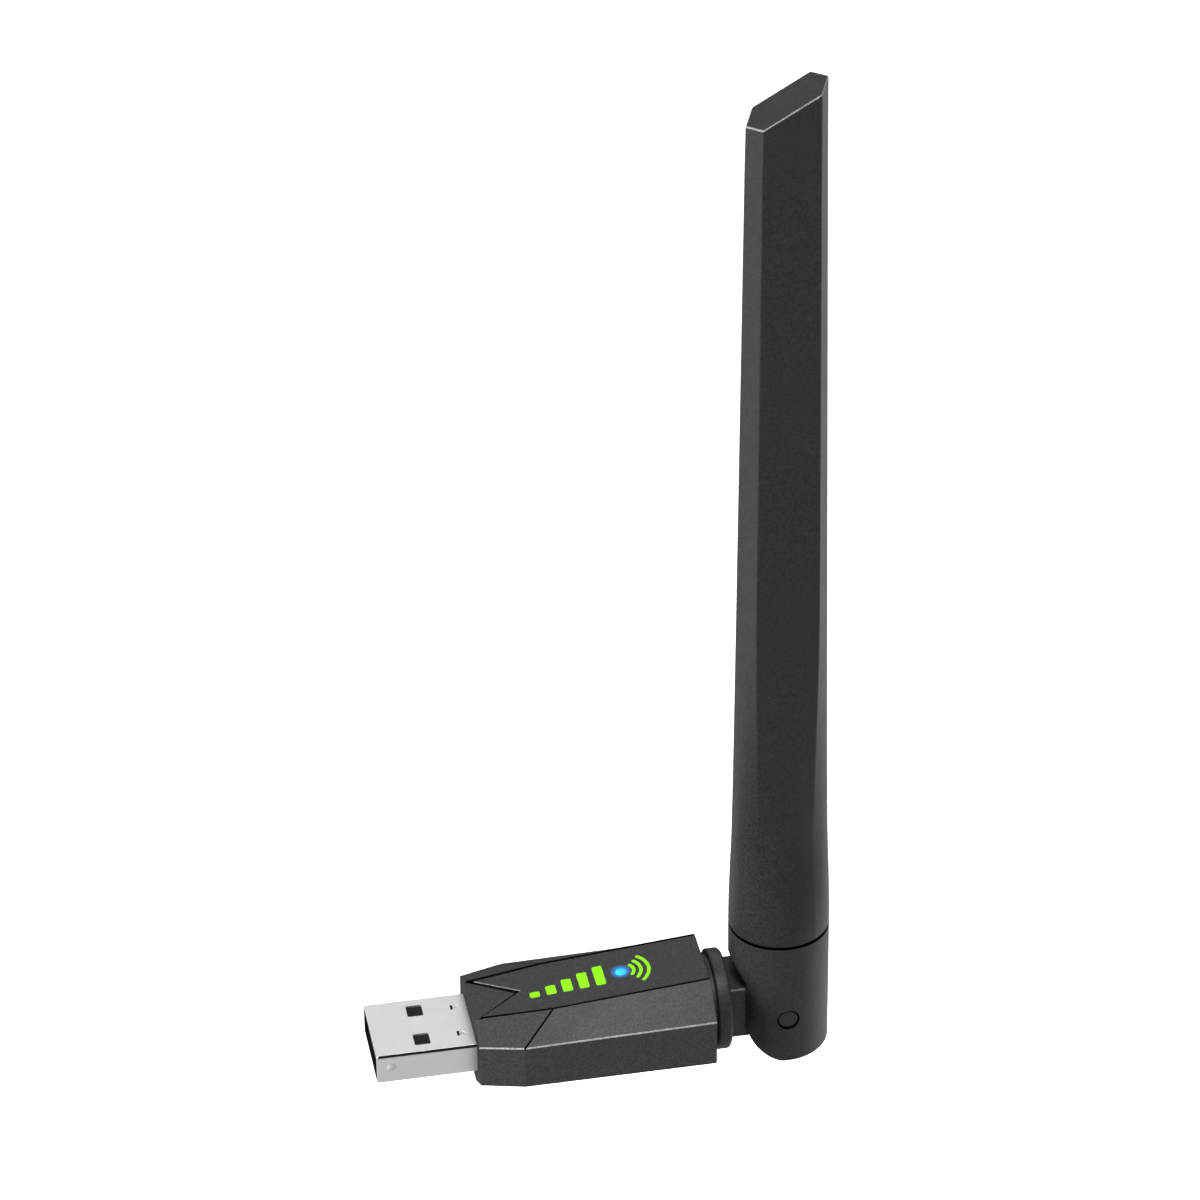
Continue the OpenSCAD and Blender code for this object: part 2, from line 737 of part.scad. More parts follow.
// Tall tapered cover: round at its foot, six-sided above, slanted top.
module antenna_cover() {
    slope = tan(top_slant);
    outer = concat(
        [for (h = blade_levels(base_height + cover_groove))
            [for (k = [0 : 47]) let (p = blade_point(k, h, 0)) [p[0], p[1], h]]],
        [[for (k = [0 : 47]) let (p = blade_point(k, antenna_height, 0))
            [p[0], p[1], antenna_height + slope * p[0]]]]);
    inner = concat(
        [for (h = blade_levels(base_height - 1))
            [for (k = [0 : 47]) let (p = blade_point(k, max(h, base_height), cover_wall))
                [p[0], p[1], h]]],
        [[for (k = [0 : 47]) let (p = blade_point(k, antenna_height, cover_wall))
            [p[0], p[1], antenna_height - 1.6 + slope * p[0]]]]);
    flat = [for (k = [0 : 47]) false];
    color("#2B2C2D")
    translate([x_hinge, 0, hinge_z])
    difference() {
        loft(outer, flat);
        loft(inner, flat);
    }
}

// Short hinge pin on the -Y side, flush with the base's round face.
module hinge_pin_near() {
    color("#3A3B3C")
    translate([x_hinge, 0, hinge_z])
        rod_y(-base_radius + 0.12, -1.9, pin_radius);
}

// Short hinge pin on the +Y side.
module hinge_pin_far() {
    color("#3A3B3C")
    translate([x_hinge, 0, hinge_z])
        rod_y(1.9, base_radius - 0.12, pin_radius);
}

// Upper run of cable, from the hinge to the radiating sleeve.
module cable_upper() {
    color("#232426")
    translate([x_hinge, 0, hinge_z + 1.5])
        cylinder(h = sleeve_start + sleeve_length - 2.0, r = cable_radius);
}

// Brass sleeve that forms the lower half of the dipole.
module dipole_sleeve() {
    color("#C9A24B")
    translate([x_hinge, 0, hinge_z + sleeve_start])
    difference() {
        cylinder(h = sleeve_length, r = sleeve_radius);
        translate([0, 0, -1])
            cylinder(h = sleeve_length + 0.6, r = sleeve_radius - 0.25);
        cylinder(h = sleeve_length + 1, r = cable_radius + 0.02);
    }
}

// Copper radiator: a straight wire with a wound phasing coil.
module radiator_wire() {
    color("#B87333")
    translate([x_hinge, 0, hinge_z + wire_start])
    union() {
        cylinder(h = 22.2, r = 0.45, $fn = 24);
        translate([0, 0, 22])
            linear_extrude(height = 8.4, twist = -1800, slices = 80, $fn = 8)
                translate([1.1, 0])
                    circle(r = 0.45, $fn = 8);
        translate([0, 0, 21.7])
            block([-0.3, -0.4, 0], [1.3, 0.4, 0.7]);
        translate([0, 0, 30])
            block([-0.3, -0.4, 0], [1.3, 0.4, 0.7]);
        translate([0, 0, 30.3])
            cylinder(h = antenna_height - tip_drop - wire_start - 30.3, r = 0.45, $fn = 24);
    }
}

// Two soft spacers that centre the wire in the cover.
module foam_spacers() {
    color("#D8D6CC")
    for (z = [wire_start + 8, antenna_height - tip_drop - 8]) {
        translate([x_hinge, 0, hinge_z + z])
        difference() {
            block([-3.0, -2.1, 0], [3.0, 2.1, 6]);
            translate([0, 0, -1])
                cylinder(h = 8, r = 0.5, $fn = 24);
        }
    }
}

usb_shell();
usb_insulator();
usb_contacts();
upper_shell();
lower_shell();
top_panel();
circuit_board();
wifi_chip();
shield_can();
crystal();
power_chip();
power_coil();
chip_parts();
status_led();
light_pipe();
cable_joint();
cable_inner();
swivel_knuckle();
swivel_clip();
swivel_seal();
hinge_washers();
cable_middle();
antenna_base();
antenna_cover();
hinge_pin_near();
hinge_pin_far();
cable_upper();
dipole_sleeve();
radiator_wire();
foam_spacers();
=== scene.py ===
"""Builds the looks of a wireless adapter over its fixed model: plug, case, swivel, fork and blade antenna."""

import math

import bmesh
import bpy
from bpy.props import FloatProperty, FloatVectorProperty, IntProperty, PointerProperty
from bpy.types import Operator, Panel, PropertyGroup
from mathutils import Matrix, Vector


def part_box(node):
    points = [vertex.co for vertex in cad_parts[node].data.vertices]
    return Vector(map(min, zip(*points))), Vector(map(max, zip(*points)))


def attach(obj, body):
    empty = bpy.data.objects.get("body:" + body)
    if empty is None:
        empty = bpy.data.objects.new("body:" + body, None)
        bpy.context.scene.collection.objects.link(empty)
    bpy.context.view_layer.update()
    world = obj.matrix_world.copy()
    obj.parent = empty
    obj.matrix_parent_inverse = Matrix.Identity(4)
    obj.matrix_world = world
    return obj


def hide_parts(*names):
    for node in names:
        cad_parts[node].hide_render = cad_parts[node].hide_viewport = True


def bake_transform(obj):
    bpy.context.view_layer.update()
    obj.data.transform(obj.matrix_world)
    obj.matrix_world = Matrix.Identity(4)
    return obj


bl_info = {
    "name": "Wireless Adapter Maker",
    "version": (1, 0, 0),
    "blender": (4, 5, 0),
    "location": "3D View > Sidebar > Adapter",
    "description": "Makes the visible pieces of a wireless adapter with a swivelling blade antenna",
    "category": "Object",
}

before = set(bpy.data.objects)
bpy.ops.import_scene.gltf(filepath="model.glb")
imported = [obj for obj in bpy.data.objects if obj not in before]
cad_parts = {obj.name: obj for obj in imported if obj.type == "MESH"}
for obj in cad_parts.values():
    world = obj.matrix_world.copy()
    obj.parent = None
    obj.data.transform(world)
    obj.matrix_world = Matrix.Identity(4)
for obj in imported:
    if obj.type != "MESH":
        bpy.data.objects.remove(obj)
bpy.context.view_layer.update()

MM = 0.001


def node_span(node, axis):
    """Lowest and highest place of a frame node along an axis, in millimetres."""
    low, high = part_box(node)
    return low[axis] / MM, high[axis] / MM


# Main places along the adapter, in millimetres, read from the frame.
X_NOSE, X_TAIL = node_span("lower_shell", 0)
X_HINGE = sum(node_span("hinge_pin_near", 0)) / 2
Z_AXIS = sum(node_span("hinge_pin_near", 2)) / 2
PLUG_END = 18.75


def length(name, millimetres, text):
    """A length setting with its default in millimetres."""
    return FloatProperty(name=name, description=text, default=millimetres * MM,
                         unit="LENGTH", subtype="DISTANCE", precision=5)


def colour(name, value, text):
    """A colour setting."""
    return FloatVectorProperty(name=name, description=text, default=value,
                               subtype="COLOR", size=3, min=0.0, max=1.0)


class PlugSizes(PropertyGroup):
    """Sizes and colours of the metal plug."""
    half_width: length("Half width", node_span("usb_shell", 1)[1], "Half of the plug's width")
    half_height: length("Half height", node_span("usb_shell", 2)[1], "Half of the plug's height")
    sheet: length("Sheet", 0.3, "Thickness of the folded sheet")
    bend: length("Bend", 0.55, "Outside radius of the long bends")
    window_width: length("Window width", 2.4, "Width of each square window")
    window_length: length("Window length", 2.15, "Length of each square window")
    metal: colour("Metal", (0.95, 0.95, 0.955), "Colour of the nickel plate")


class CaseSizes(PropertyGroup):
    """Sizes and colours of the faceted case."""
    half_width: length("Half width", node_span("upper_shell", 1)[1], "Half of the case's greatest width")
    nose_half: length("Nose half width", 8.15, "Half of the case's width at the nose")
    nose_taper: length("Nose taper", 5.85, "Length of the tapered nose")
    panel_half: length("Panel half width", 5.2, "Half of the top panel's width")
    panel_nose: length("Panel nose half width", 4.275, "Half of the panel's width at the nose")
    panel_corner: length("Panel corner", 10.5, "Distance from the nose to the corner of the panel's edge")
    nose_height: length("Nose height", 5.25, "Height of the panel at the nose")
    tail_height: length("Tail height", 7.95, "Height of the panel at the tail")
    ridge_nose: length("Ridge at nose", 3.4, "Height of the side ridge at the nose")
    ridge_tail: length("Ridge at tail", 3.9, "Height of the side ridge at the tail")
    seam: length("Seam drop", 2.8, "Drop from the plug's middle to the seam")
    belly: length("Belly drop", 5.2, "Drop from the plug's middle to the belly")
    notch: length("Notch reach", 6.5, "Distance from the nose to the point of the notch")
    edge: length("Edge radius", 0.16, "Radius of the moulded outer edges")
    plastic: colour("Plastic", (0.024, 0.024, 0.0245), "Colour of the case")
    panel: colour("Panel", (0.024, 0.024, 0.0245), "Colour of the top panel")


class JointSizes(PropertyGroup):
    """Sizes and colours of the swivel knuckle, fork and pins."""
    disc_radius: length("Disc radius", node_span("swivel_knuckle", 1)[1], "Radius of the round disc")
    collar_radius: length("Collar radius", 6.1, "Radius of the thin collar")
    neck_half: length("Neck half width", 3.95, "Half of the neck's width")
    eye_radius: length("Eye radius", 3.95, "Radius of the neck's rounded eye")
    collar: length("Collar", 0.6, "Thickness of the thin collar")
    disc: length("Disc", 2.0, "Thickness of the round disc")
    pin_radius: length("Pin radius", 1.3, "Radius of the hinge pins")
    base_radius: length("Base radius", node_span("antenna_base", 1)[1], "Radius of the antenna base")
    base_height: length("Base height", 11.7, "Height of the base above the fold axis")
    foot_drop: length("Foot drop", 6.95, "Depth of the fork below the fold axis")
    foot_round: length("Foot round", 6.05, "Radius of the foot on the side that faces the case")
    plastic: colour("Plastic", (0.015, 0.015, 0.0154), "Colour of the joint")


class BladeSizes(PropertyGroup):
    """Sizes and colours of the antenna cover."""
    height: length("Height", 133.8, "Height of the slanted top's middle above the fold axis")
    slant: FloatProperty(name="Slant", description="Slant of the top", default=math.radians(29.8),
                         unit="ROTATION", subtype="ANGLE")
    width_low: length("Low width", 13.3, "Width across the side edges, low down")
    width_top: length("Top width", 10.25, "Width across the side edges, at the top")
    face_low: length("Low face", 9.0, "Width of the flat face, low down")
    face_top: length("Top face", 7.25, "Width of the flat face, at the top")
    depth_low: length("Low depth", 8.55, "Depth from front to back, low down")
    depth_top: length("Top depth", 6.6, "Depth from front to back, at the top")
    edge: length("Edge radius", 0.28, "Radius of the long edges")
    groove: length("Groove", 0.35, "Height of the groove above the base")
    plastic: colour("Plastic", (0.012, 0.012, 0.0125), "Colour of the blade")


class MarkSizes(PropertyGroup):
    """Sizes and colours of the printed marks and the lamp."""
    bars: IntProperty(name="Bars", description="How many rising bars are printed", default=5, min=2, max=7)
    bar_height: length("Bar height", 4.1, "Height of the tallest bar")
    lamp_reach: length("Lamp reach", 20.6, "Distance from the nose to the lamp")
    lamp_radius: length("Lamp radius", 0.8, "Radius of the lamp's window")
    ink: colour("Ink", (0.20, 0.62, 0.006), "Colour of the printed marks")
    light: colour("Light", (0.02, 0.33, 1.0), "Colour of the lamp")


class StageSettings(PropertyGroup):
    """Camera, floor and lights."""
    lens: FloatProperty(name="Lens", description="Focal length", default=147.514, unit="CAMERA")
    floor_drop: length("Floor drop", 150.0, "Depth of the floor below the plug's middle")
    floor_glow: FloatProperty(name="Floor glow", description="Light of the lit table", default=0.75, min=0.0)
    floor: colour("Floor", (0.95, 0.95, 0.95), "Colour of the floor")


class AdapterSettings(PropertyGroup):
    """All the settings of the adapter."""
    plug: PointerProperty(type=PlugSizes)
    case: PointerProperty(type=CaseSizes)
    joint: PointerProperty(type=JointSizes)
    blade: PointerProperty(type=BladeSizes)
    marks: PointerProperty(type=MarkSizes)
    stage: PointerProperty(type=StageSettings)


# ---------------------------------------------------------------- mesh tools


def arc(cx, cy, radius, start, end, steps):
    """Points on an arc, angles in degrees."""
    return [(cx + radius * math.cos(math.radians(start + (end - start) * i / steps)),
             cy + radius * math.sin(math.radians(start + (end - start) * i / steps)))
            for i in range(steps + 1)]


def rounded_rectangle(half_a, half_b, radius, steps=6):
    """A rectangle's outline with round corners, anticlockwise."""
    points = []
    for sa, sb, start in ((1, 1, 0), (-1, 1, 90), (-1, -1, 180), (1, -1, 270)):
        points += arc(sa * (half_a - radius), sb * (half_b - radius), radius, start, start + 90, steps)
    return points


def loft(sections, materials=(), highlight_from=None):
    """A closed solid through sections of equal point counts, with the painted highlight finish from one section on.
    """
    bm = bmesh.new()
    rings = [[bm.verts.new(p) for p in section] for section in sections]
    count = len(rings[0])
    for i, (low, high) in enumerate(zip(rings, rings[1:])):
        for j in range(count):
            k = (j + 1) % count
            face = bm.faces.new((low[j], low[k], high[k], high[j]))
            face.material_index = 1 if highlight_from is not None and i >= highlight_from else 0
    bm.faces.new(list(reversed(rings[0])))
    bm.faces.new(rings[-1])
    return work_object(bm, materials)


def work_object(bm, materials=()):
    """Links a bmesh as an object in millimetres, with outward faces."""
    bmesh.ops.remove_doubles(bm, verts=bm.verts, dist=1e-5)
    bmesh.ops.recalc_face_normals(bm, faces=bm.faces)
    mesh = bpy.data.meshes.new("work")
    bm.to_mesh(mesh)
    bm.free()
    for material in materials:
        mesh.materials.append(material)
    thing = bpy.data.objects.new("work", mesh)
    bpy.context.scene.collection.objects.link(thing)
    return thing


def prism(outline, low, high, axis="Z", place=None, materials=()):
    """A flat outline drawn out along an axis: Z from XY, Y from XZ, X from YZ."""
    order = {"Z": lambda a, b, c: (a, b, c), "Y": lambda a, b, c: (a, c, b), "X": lambda a, b, c: (c, a, b)}[axis]
    thing = loft([[order(a, b, level) for a, b in outline] for level in (low, high)], materials)
    if place is not None:
        thing.data.transform(place)
    return thing


def brick(low, high, materials=()):
    """A box cutter between two corners."""
    return prism([(low[0], low[1]), (high[0], low[1]), (high[0], high[1]), (low[0], high[1])],
                 low[2], high[2], materials=materials)


def lathe(profile, axis="Z", segments=96, centre=(0, 0, 0), materials=()):
    """Turns a closed (distance, along) profile about an axis."""
    bm = bmesh.new()
    rings = []
    for i in range(segments):
        a = 2 * math.pi * i / segments
        ring = []
        for r, t in profile:
            u, v = r * math.cos(a), r * math.sin(a)
            p = {"Z": (u, v, t), "X": (t, u, v), "Y": (v, t, u)}[axis]
            ring.append(bm.verts.new(Vector(p) + Vector(centre)))
        rings.append(ring)
    count = len(profile)
    for i in range(segments):
        one, two = rings[i], rings[(i + 1) % segments]
        for j in range(count):
            k = (j + 1) % count
            if profile[j][0] < 1e-9 and profile[k][0] < 1e-9:
                continue
            bm.faces.new((one[j], two[j], two[k], one[k]))
    bmesh.ops.remove_doubles(bm, verts=bm.verts, dist=1e-6)
    return work_object(bm, materials)


def rod(radius, low, high, axis, segments, centre, material):
    """A round bar along an axis."""
    return lathe([(0, low), (radius, low), (radius, high), (0, high)], axis, segments, centre, [material])


def carve(target, cutters, how="DIFFERENCE"):
    """Cuts, joins or keeps the shared part of each cutter, one after another."""
    for cutter in cutters:
        change = target.modifiers.new("carve", "BOOLEAN")
        change.operation = how
        change.solver = "EXACT"
        change.object = cutter
        change.material_mode = "TRANSFER"
        graph = bpy.context.evaluated_depsgraph_get()
        mesh = bpy.data.meshes.new_from_object(target.evaluated_get(graph))
        target.modifiers.clear()
        old = target.data
        target.data = mesh
        bpy.data.meshes.remove(old)
        used = cutter.data
        bpy.data.objects.remove(cutter)
        bpy.data.meshes.remove(used)


def soften(thing, radius, steps=2, angle=30.0, chosen=None, edge_slot=None):
    """Rounds the sharp edges of a work object."""
    bm = bmesh.new()
    bm.from_mesh(thing.data)
    bmesh.ops.remove_doubles(bm, verts=bm.verts, dist=1e-4)
    bmesh.ops.dissolve_limit(bm, angle_limit=math.radians(0.4), verts=bm.verts, edges=bm.edges,
                             delimit={"MATERIAL"})
    sharp = [e for e in bm.edges if len(e.link_faces) == 2
             and e.calc_face_angle(0.0) > math.radians(angle)
             and (chosen is None or chosen(e.verts[0].co, e.verts[1].co))]
    bmesh.ops.bevel(bm, geom=sharp, offset=radius, offset_type="OFFSET", segments=steps, profile=0.5,
                    affect="EDGES", clamp_overlap=True, material=-1 if edge_slot is None else edge_slot)
    bm.to_mesh(thing.data)
    bm.free()


def finish_piece(thing, name, body, nodes=(), angle=35.0, level=True):
    """Turns a work object into a named piece in metres that rides on a body."""
    thing.data.transform(Matrix.Scale(MM, 4))
    thing.name = name
    thing.data.name = name
    for face in thing.data.polygons:
        face.use_smooth = True
    thing.data.set_sharp_from_angle(angle=math.radians(angle))
    if level:
        weigh = thing.modifiers.new("level_shading", "WEIGHTED_NORMAL")
        weigh.keep_sharp = True
        weigh.weight = 60
    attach(thing, body)
    if nodes:
        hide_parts(*nodes)


# ---------------------------------------------------------------- materials


def new_material(name):
    """An empty node material with its surface shader."""
    material = bpy.data.materials.new(name)
    material.use_nodes = True
    tree = material.node_tree
    shader = tree.nodes["Principled BSDF"]
    return material, tree, shader


def add(tree, kind, **values):
    """Adds a shader node and sets its inputs or properties."""
    node = tree.nodes.new(kind)
    for key, value in values.items():
        if key in node.inputs:
            node.inputs[key].default_value = value
        else:
            setattr(node, key, value)
    return node


def grain(tree, scale, detail=3.0, rough=0.6, stretch=(1, 1, 1)):
    """A noise texture in the piece's own coordinates."""
    place = add(tree, "ShaderNodeTexCoord")
    turn = add(tree, "ShaderNodeMapping")
    turn.inputs["Scale"].default_value = stretch
    tree.links.new(place.outputs["Object"], turn.inputs["Vector"])
    noise = add(tree, "ShaderNodeTexNoise", Scale=scale, Detail=detail, Roughness=rough)
    tree.links.new(turn.outputs["Vector"], noise.inputs["Vector"])
    return noise


def vary(tree, factor, low, high):
    """Maps a 0 to 1 factor onto a range of values."""
    spread = add(tree, "ShaderNodeMapRange", **{"From Min": 0.3, "From Max": 0.7, "To Min": low, "To Max": high})
    tree.links.new(factor, spread.inputs["Value"])
    return spread.outputs["Result"]


def tinted(tree, factor, colour_value, low, high):
    """The colour made darker and lighter by a factor."""
    ramp = add(tree, "ShaderNodeValToRGB")
    for stop, place, shade in zip(ramp.color_ramp.elements, (0.3, 0.7), (low, high)):
        stop.position = place
        stop.color = tuple(min(1, c * shade) for c in colour_value) + (1,)
    tree.links.new(factor, ramp.inputs["Fac"])
    return ramp.outputs["Color"]


def dress(tree, shader, colour_value, shades, gloss, relief=None):
    """Gives a shader colour, roughness and relief, each from a noise and two values."""
    noise, low, high = shades
    tree.links.new(tinted(tree, noise.outputs["Fac"], colour_value, low, high), shader.inputs["Base Color"])
    noise, low, high = gloss
    tree.links.new(vary(tree, noise.outputs["Fac"], low, high), shader.inputs["Roughness"])
    if relief:
        noise, strength, depth = relief
        bump = add(tree, "ShaderNodeBump", Strength=strength, Distance=depth * MM)
        tree.links.new(noise.outputs["Fac"], bump.inputs["Height"])
        tree.links.new(bump.outputs["Normal"], shader.inputs["Normal"])


def moulded_plastic(name, colour_value, roughness=0.5, depth=0.014, shine=0.34):
    """Dark plastic with a fine spark-eroded texture and faint flow marks."""
    material, tree, shader = new_material(name)
    fine = grain(tree, 3600.0, 2.0, 0.65)
    broad = grain(tree, 420.0, 4.0, 0.5)
    dress(tree, shader, colour_value, (fine, 0.6, 1.5), (broad, roughness - 0.015, roughness + 0.02),
          (fine, 1.0, depth))
    shader.inputs["Specular IOR Level"].default_value = shine
    return material


def plated_metal(name, colour_value, roughness, brushed=(1, 1, 1), metallic=1.0):
    """Bright plated sheet with faint handling marks and rolling lines."""
    material, tree, shader = new_material(name)
    rolled = grain(tree, 900.0, 4.0, 0.6, brushed)
    spots = grain(tree, 260.0, 3.0, 0.5)
    dress(tree, shader, colour_value, (spots, 0.975, 1.02), (rolled, roughness - 0.02, roughness + 0.03),
          (rolled, 0.2, 0.0015))
    shader.inputs["Metallic"].default_value = metallic
    return material


def speckled(name, colour_value, roughness, scale):
    """A small part's surface: even colour with fine speckle and faint relief."""
    material, tree, shader = new_material(name)
    noise = grain(tree, scale, 3.0, 0.6)
    dress(tree, shader, colour_value, (noise, 0.85, 1.15), (noise, roughness - 0.06, roughness + 0.06),
          (noise, 0.3, 0.01))
    return material


def printed_ink(name, colour_value):
    """Pad-printed ink: slightly uneven, with a very weak painted glow."""
    material, tree, shader = new_material(name)
    noise = grain(tree, 2600.0, 3.0, 0.6)
    dress(tree, shader, colour_value, (noise, 0.92, 1.06), (noise, 0.42, 0.55))
    tree.links.new(tinted(tree, noise.outputs["Fac"], colour_value, 0.92, 1.06), shader.inputs["Emission Color"])
    shader.inputs["Emission Strength"].default_value = 0.05
    shader.inputs["Specular IOR Level"].default_value = 0.15
    return material


def glowing_panel(name, colour_value, centre, light):
    """The panel's plastic, with a painted glow of the lamp's light round its window."""
    material = moulded_plastic(name, colour_value, 0.5)
    tree = material.node_tree
    shader = tree.nodes["Principled BSDF"]
    place = add(tree, "ShaderNodeTexCoord")
    away = add(tree, "ShaderNodeVectorMath", operation="DISTANCE")
    away.inputs[1].default_value = centre
    tree.links.new(place.outputs["Object"], away.inputs[0])
    fall = add(tree, "ShaderNodeMapRange", interpolation_type="SMOOTHERSTEP")
    fall.inputs["From Min"].default_value = 0.5 * MM
    fall.inputs["From Max"].default_value = 1.7 * MM
    fall.inputs["To Min"].default_value = 1.0
    fall.inputs["To Max"].default_value = 0.0
    tree.links.new(away.outputs["Value"], fall.inputs["Value"])
    ramp = add(tree, "ShaderNodeValToRGB")
    ramp.color_ramp.elements[0].color = (0, 0, 0, 1)
    ramp.color_ramp.elements[1].color = tuple(c * 0.75 for c in light) + (1,)
    tree.links.new(fall.outputs["Result"], ramp.inputs["Fac"])
    tree.links.new(ramp.outputs["Color"], shader.inputs["Emission Color"])
    shader.inputs["Emission Strength"].default_value = 1.0
    return material


def lit_lens(name, light):
    """The clear lens, lit from below, brightest in its middle."""
    material, tree, shader = new_material(name)
    noise = grain(tree, 1500.0, 2.0, 0.5)
    tree.links.new(tinted(tree, noise.outputs["Fac"], light, 0.9, 1.1), shader.inputs["Base Color"])
    tree.links.new(tinted(tree, noise.outputs["Fac"], light, 0.95, 1.15), shader.inputs["Emission Color"])
    shader.inputs["Emission Strength"].default_value = 0.8
    shader.inputs["Specular IOR Level"].default_value = 0.2
    shader.inputs["Roughness"].default_value = 0.45
    return material


finishes = {}


def finish(name, maker, *values, **named):
    """Makes a finish once and keeps it."""
    if name not in finishes:
        finishes[name] = maker(name, *values, **named)
    return finishes[name]


def case_plastic(settings):
    """The case's plastic."""
    return finish("case_plastic", moulded_plastic, tuple(settings.case.plastic))


def painted_highlight_edge(name, settings_colour, lift):
    """The same plastic, paler along an edge as a painted highlight, and smoother."""
    return finish(name, moulded_plastic, tuple(min(1.0, c * lift) for c in settings_colour), 0.36, 0.006)


def shade_nose(shell, case):
    """Paint shade on the end face round the plug: a deeper, duller black there."""
    shell.data.materials.append(finish("case_nose", moulded_plastic, tuple(c * 0.35 for c in case.plastic), 0.6,
                                       shine=0.15))
    for face in shell.data.polygons:
        if face.normal.x < -0.9 and face.center.x < X_NOSE + 0.3:
            face.material_index = len(shell.data.materials) - 1


def groove_shadow():
    """The near black of deep grooves and gaps."""
    return finish("groove_shadow", moulded_plastic, (0.003, 0.003, 0.003), roughness=0.9, shine=0.04)


# ---------------------------------------------------------------- case shape


def side_half(case, x):
    """Half width of the case at x."""
    t = (x - X_NOSE) / (case.nose_taper / MM)
    return min(case.half_width, case.nose_half + (case.half_width - case.nose_half) * t) / MM


def panel_edge(case, x):
    """Half width of the top panel at x."""
    t = (x - X_NOSE) / (case.panel_corner / MM)
    return min(case.panel_half, case.panel_nose + (case.panel_half - case.panel_nose) * t) / MM


def panel_level(case, x):
    """Height of the top panel's plane at x."""
    t = (x - X_NOSE) / (X_TAIL - X_NOSE)
    return (case.nose_height + (case.tail_height - case.nose_height) * t) / MM


def ridge_level(case, x):
    """Height of the side ridge at x."""
    t = (x - X_NOSE) / (X_TAIL - X_NOSE)
    return (case.ridge_nose + (case.ridge_tail - case.ridge_nose) * t) / MM


def panel_place(case, depth=0.0):
    """The matrix that lays flat things on the panel's plane."""
    rise = (case.tail_height - case.nose_height) / MM / (X_TAIL - X_NOSE)
    return (Matrix.Translation((X_NOSE, 0, case.nose_height / MM))
            @ Matrix.Rotation(-math.atan(rise), 4, "Y")
            @ Matrix.Translation((-X_NOSE, 0, -depth)))


def panel_outline(case, grow, tail):
    """The top panel's outline, grown on its free sides."""
    nose = case.panel_nose / MM - 0.1 + grow
    side = case.panel_half / MM - 0.1 + grow
    corner = X_NOSE + case.panel_corner / MM
    tip = X_NOSE + 0.55 - grow * 2.6
    return [(tip, nose), (X_NOSE + case.notch / MM - grow * 1.9, 0), (tip, -nose),
            (corner, -side), (tail, -side), (tail, side), (corner, side)]


def upper_solid(case, inset, drop, low, material):
    """The upper case as a closed solid, drawn in for its hollow."""
    shoulder = X_NOSE + case.nose_taper / MM
    corner = X_NOSE + case.panel_corner / MM
    bm = bmesh.new()
    rings = []
    places = [X_NOSE, shoulder, corner] + [corner + (X_TAIL - corner) * i / 8 for i in range(1, 9)]
    for x in places:
        at = X_NOSE + inset if x == X_NOSE else X_TAIL - inset if x == X_TAIL else x
        w = side_half(case, x) - inset
        p = panel_edge(case, x) - inset * 0.4
        r = ridge_level(case, x) - inset * 0.5
        t = panel_level(case, x) - drop
        rings.append([bm.verts.new(v) for v in ((at, -w, low), (at, w, low), (at, w, r),
                                                (at, p, t), (at, -p, t), (at, -w, r))])
    for i, (one, two) in enumerate(zip(rings, rings[1:])):
        for j in range(6):
            k = (j + 1) % 6
            if j == 2:
                bm.faces.new((one[j], one[k], two[k]))
                bm.faces.new((one[j], two[k], two[j]))
            elif j == 4:
                bm.faces.new((one[j], one[k], two[j]))
                bm.faces.new((one[k], two[k], two[j]))
            else:
                bm.faces.new((one[j], one[k], two[k], two[j]))
    bm.faces.new(list(reversed(rings[0])))
    bm.faces.new(rings[-1])
    return work_object(bm, [material])


def style_groove(case, side, material):
    """Cutter for the thin groove across one sloping side of the nose."""
    x0, x1 = X_NOSE + case.nose_taper / MM, X_NOSE + case.panel_corner / MM
    low = Vector((x0, side * case.half_width / MM, ridge_level(case, x0)))
    high = Vector((x1, side * case.panel_half / MM, panel_level(case, x1)))
    along = (high - low).normalized()
    across = Vector((along[1], -along[0], 0)).normalized()
    up = across.cross(along).normalized()
    if up.z < 0:
        up = -up
    across = up.cross(along).normalized()
    place = Matrix((
        (along[0], across[0], up[0], low[0]), (along[1], across[1], up[1], low[1]),
        (along[2], across[2], up[2], low[2]), (0, 0, 0, 1)))
    run = (high - low).length
    return prism([(-0.13, 1.0), (-0.13, -0.02), (-0.06, -0.17), (0.06, -0.17), (0.13, -0.02), (0.13, 1.0)],
                 -0.7, run + 0.4, "X", place, [material])


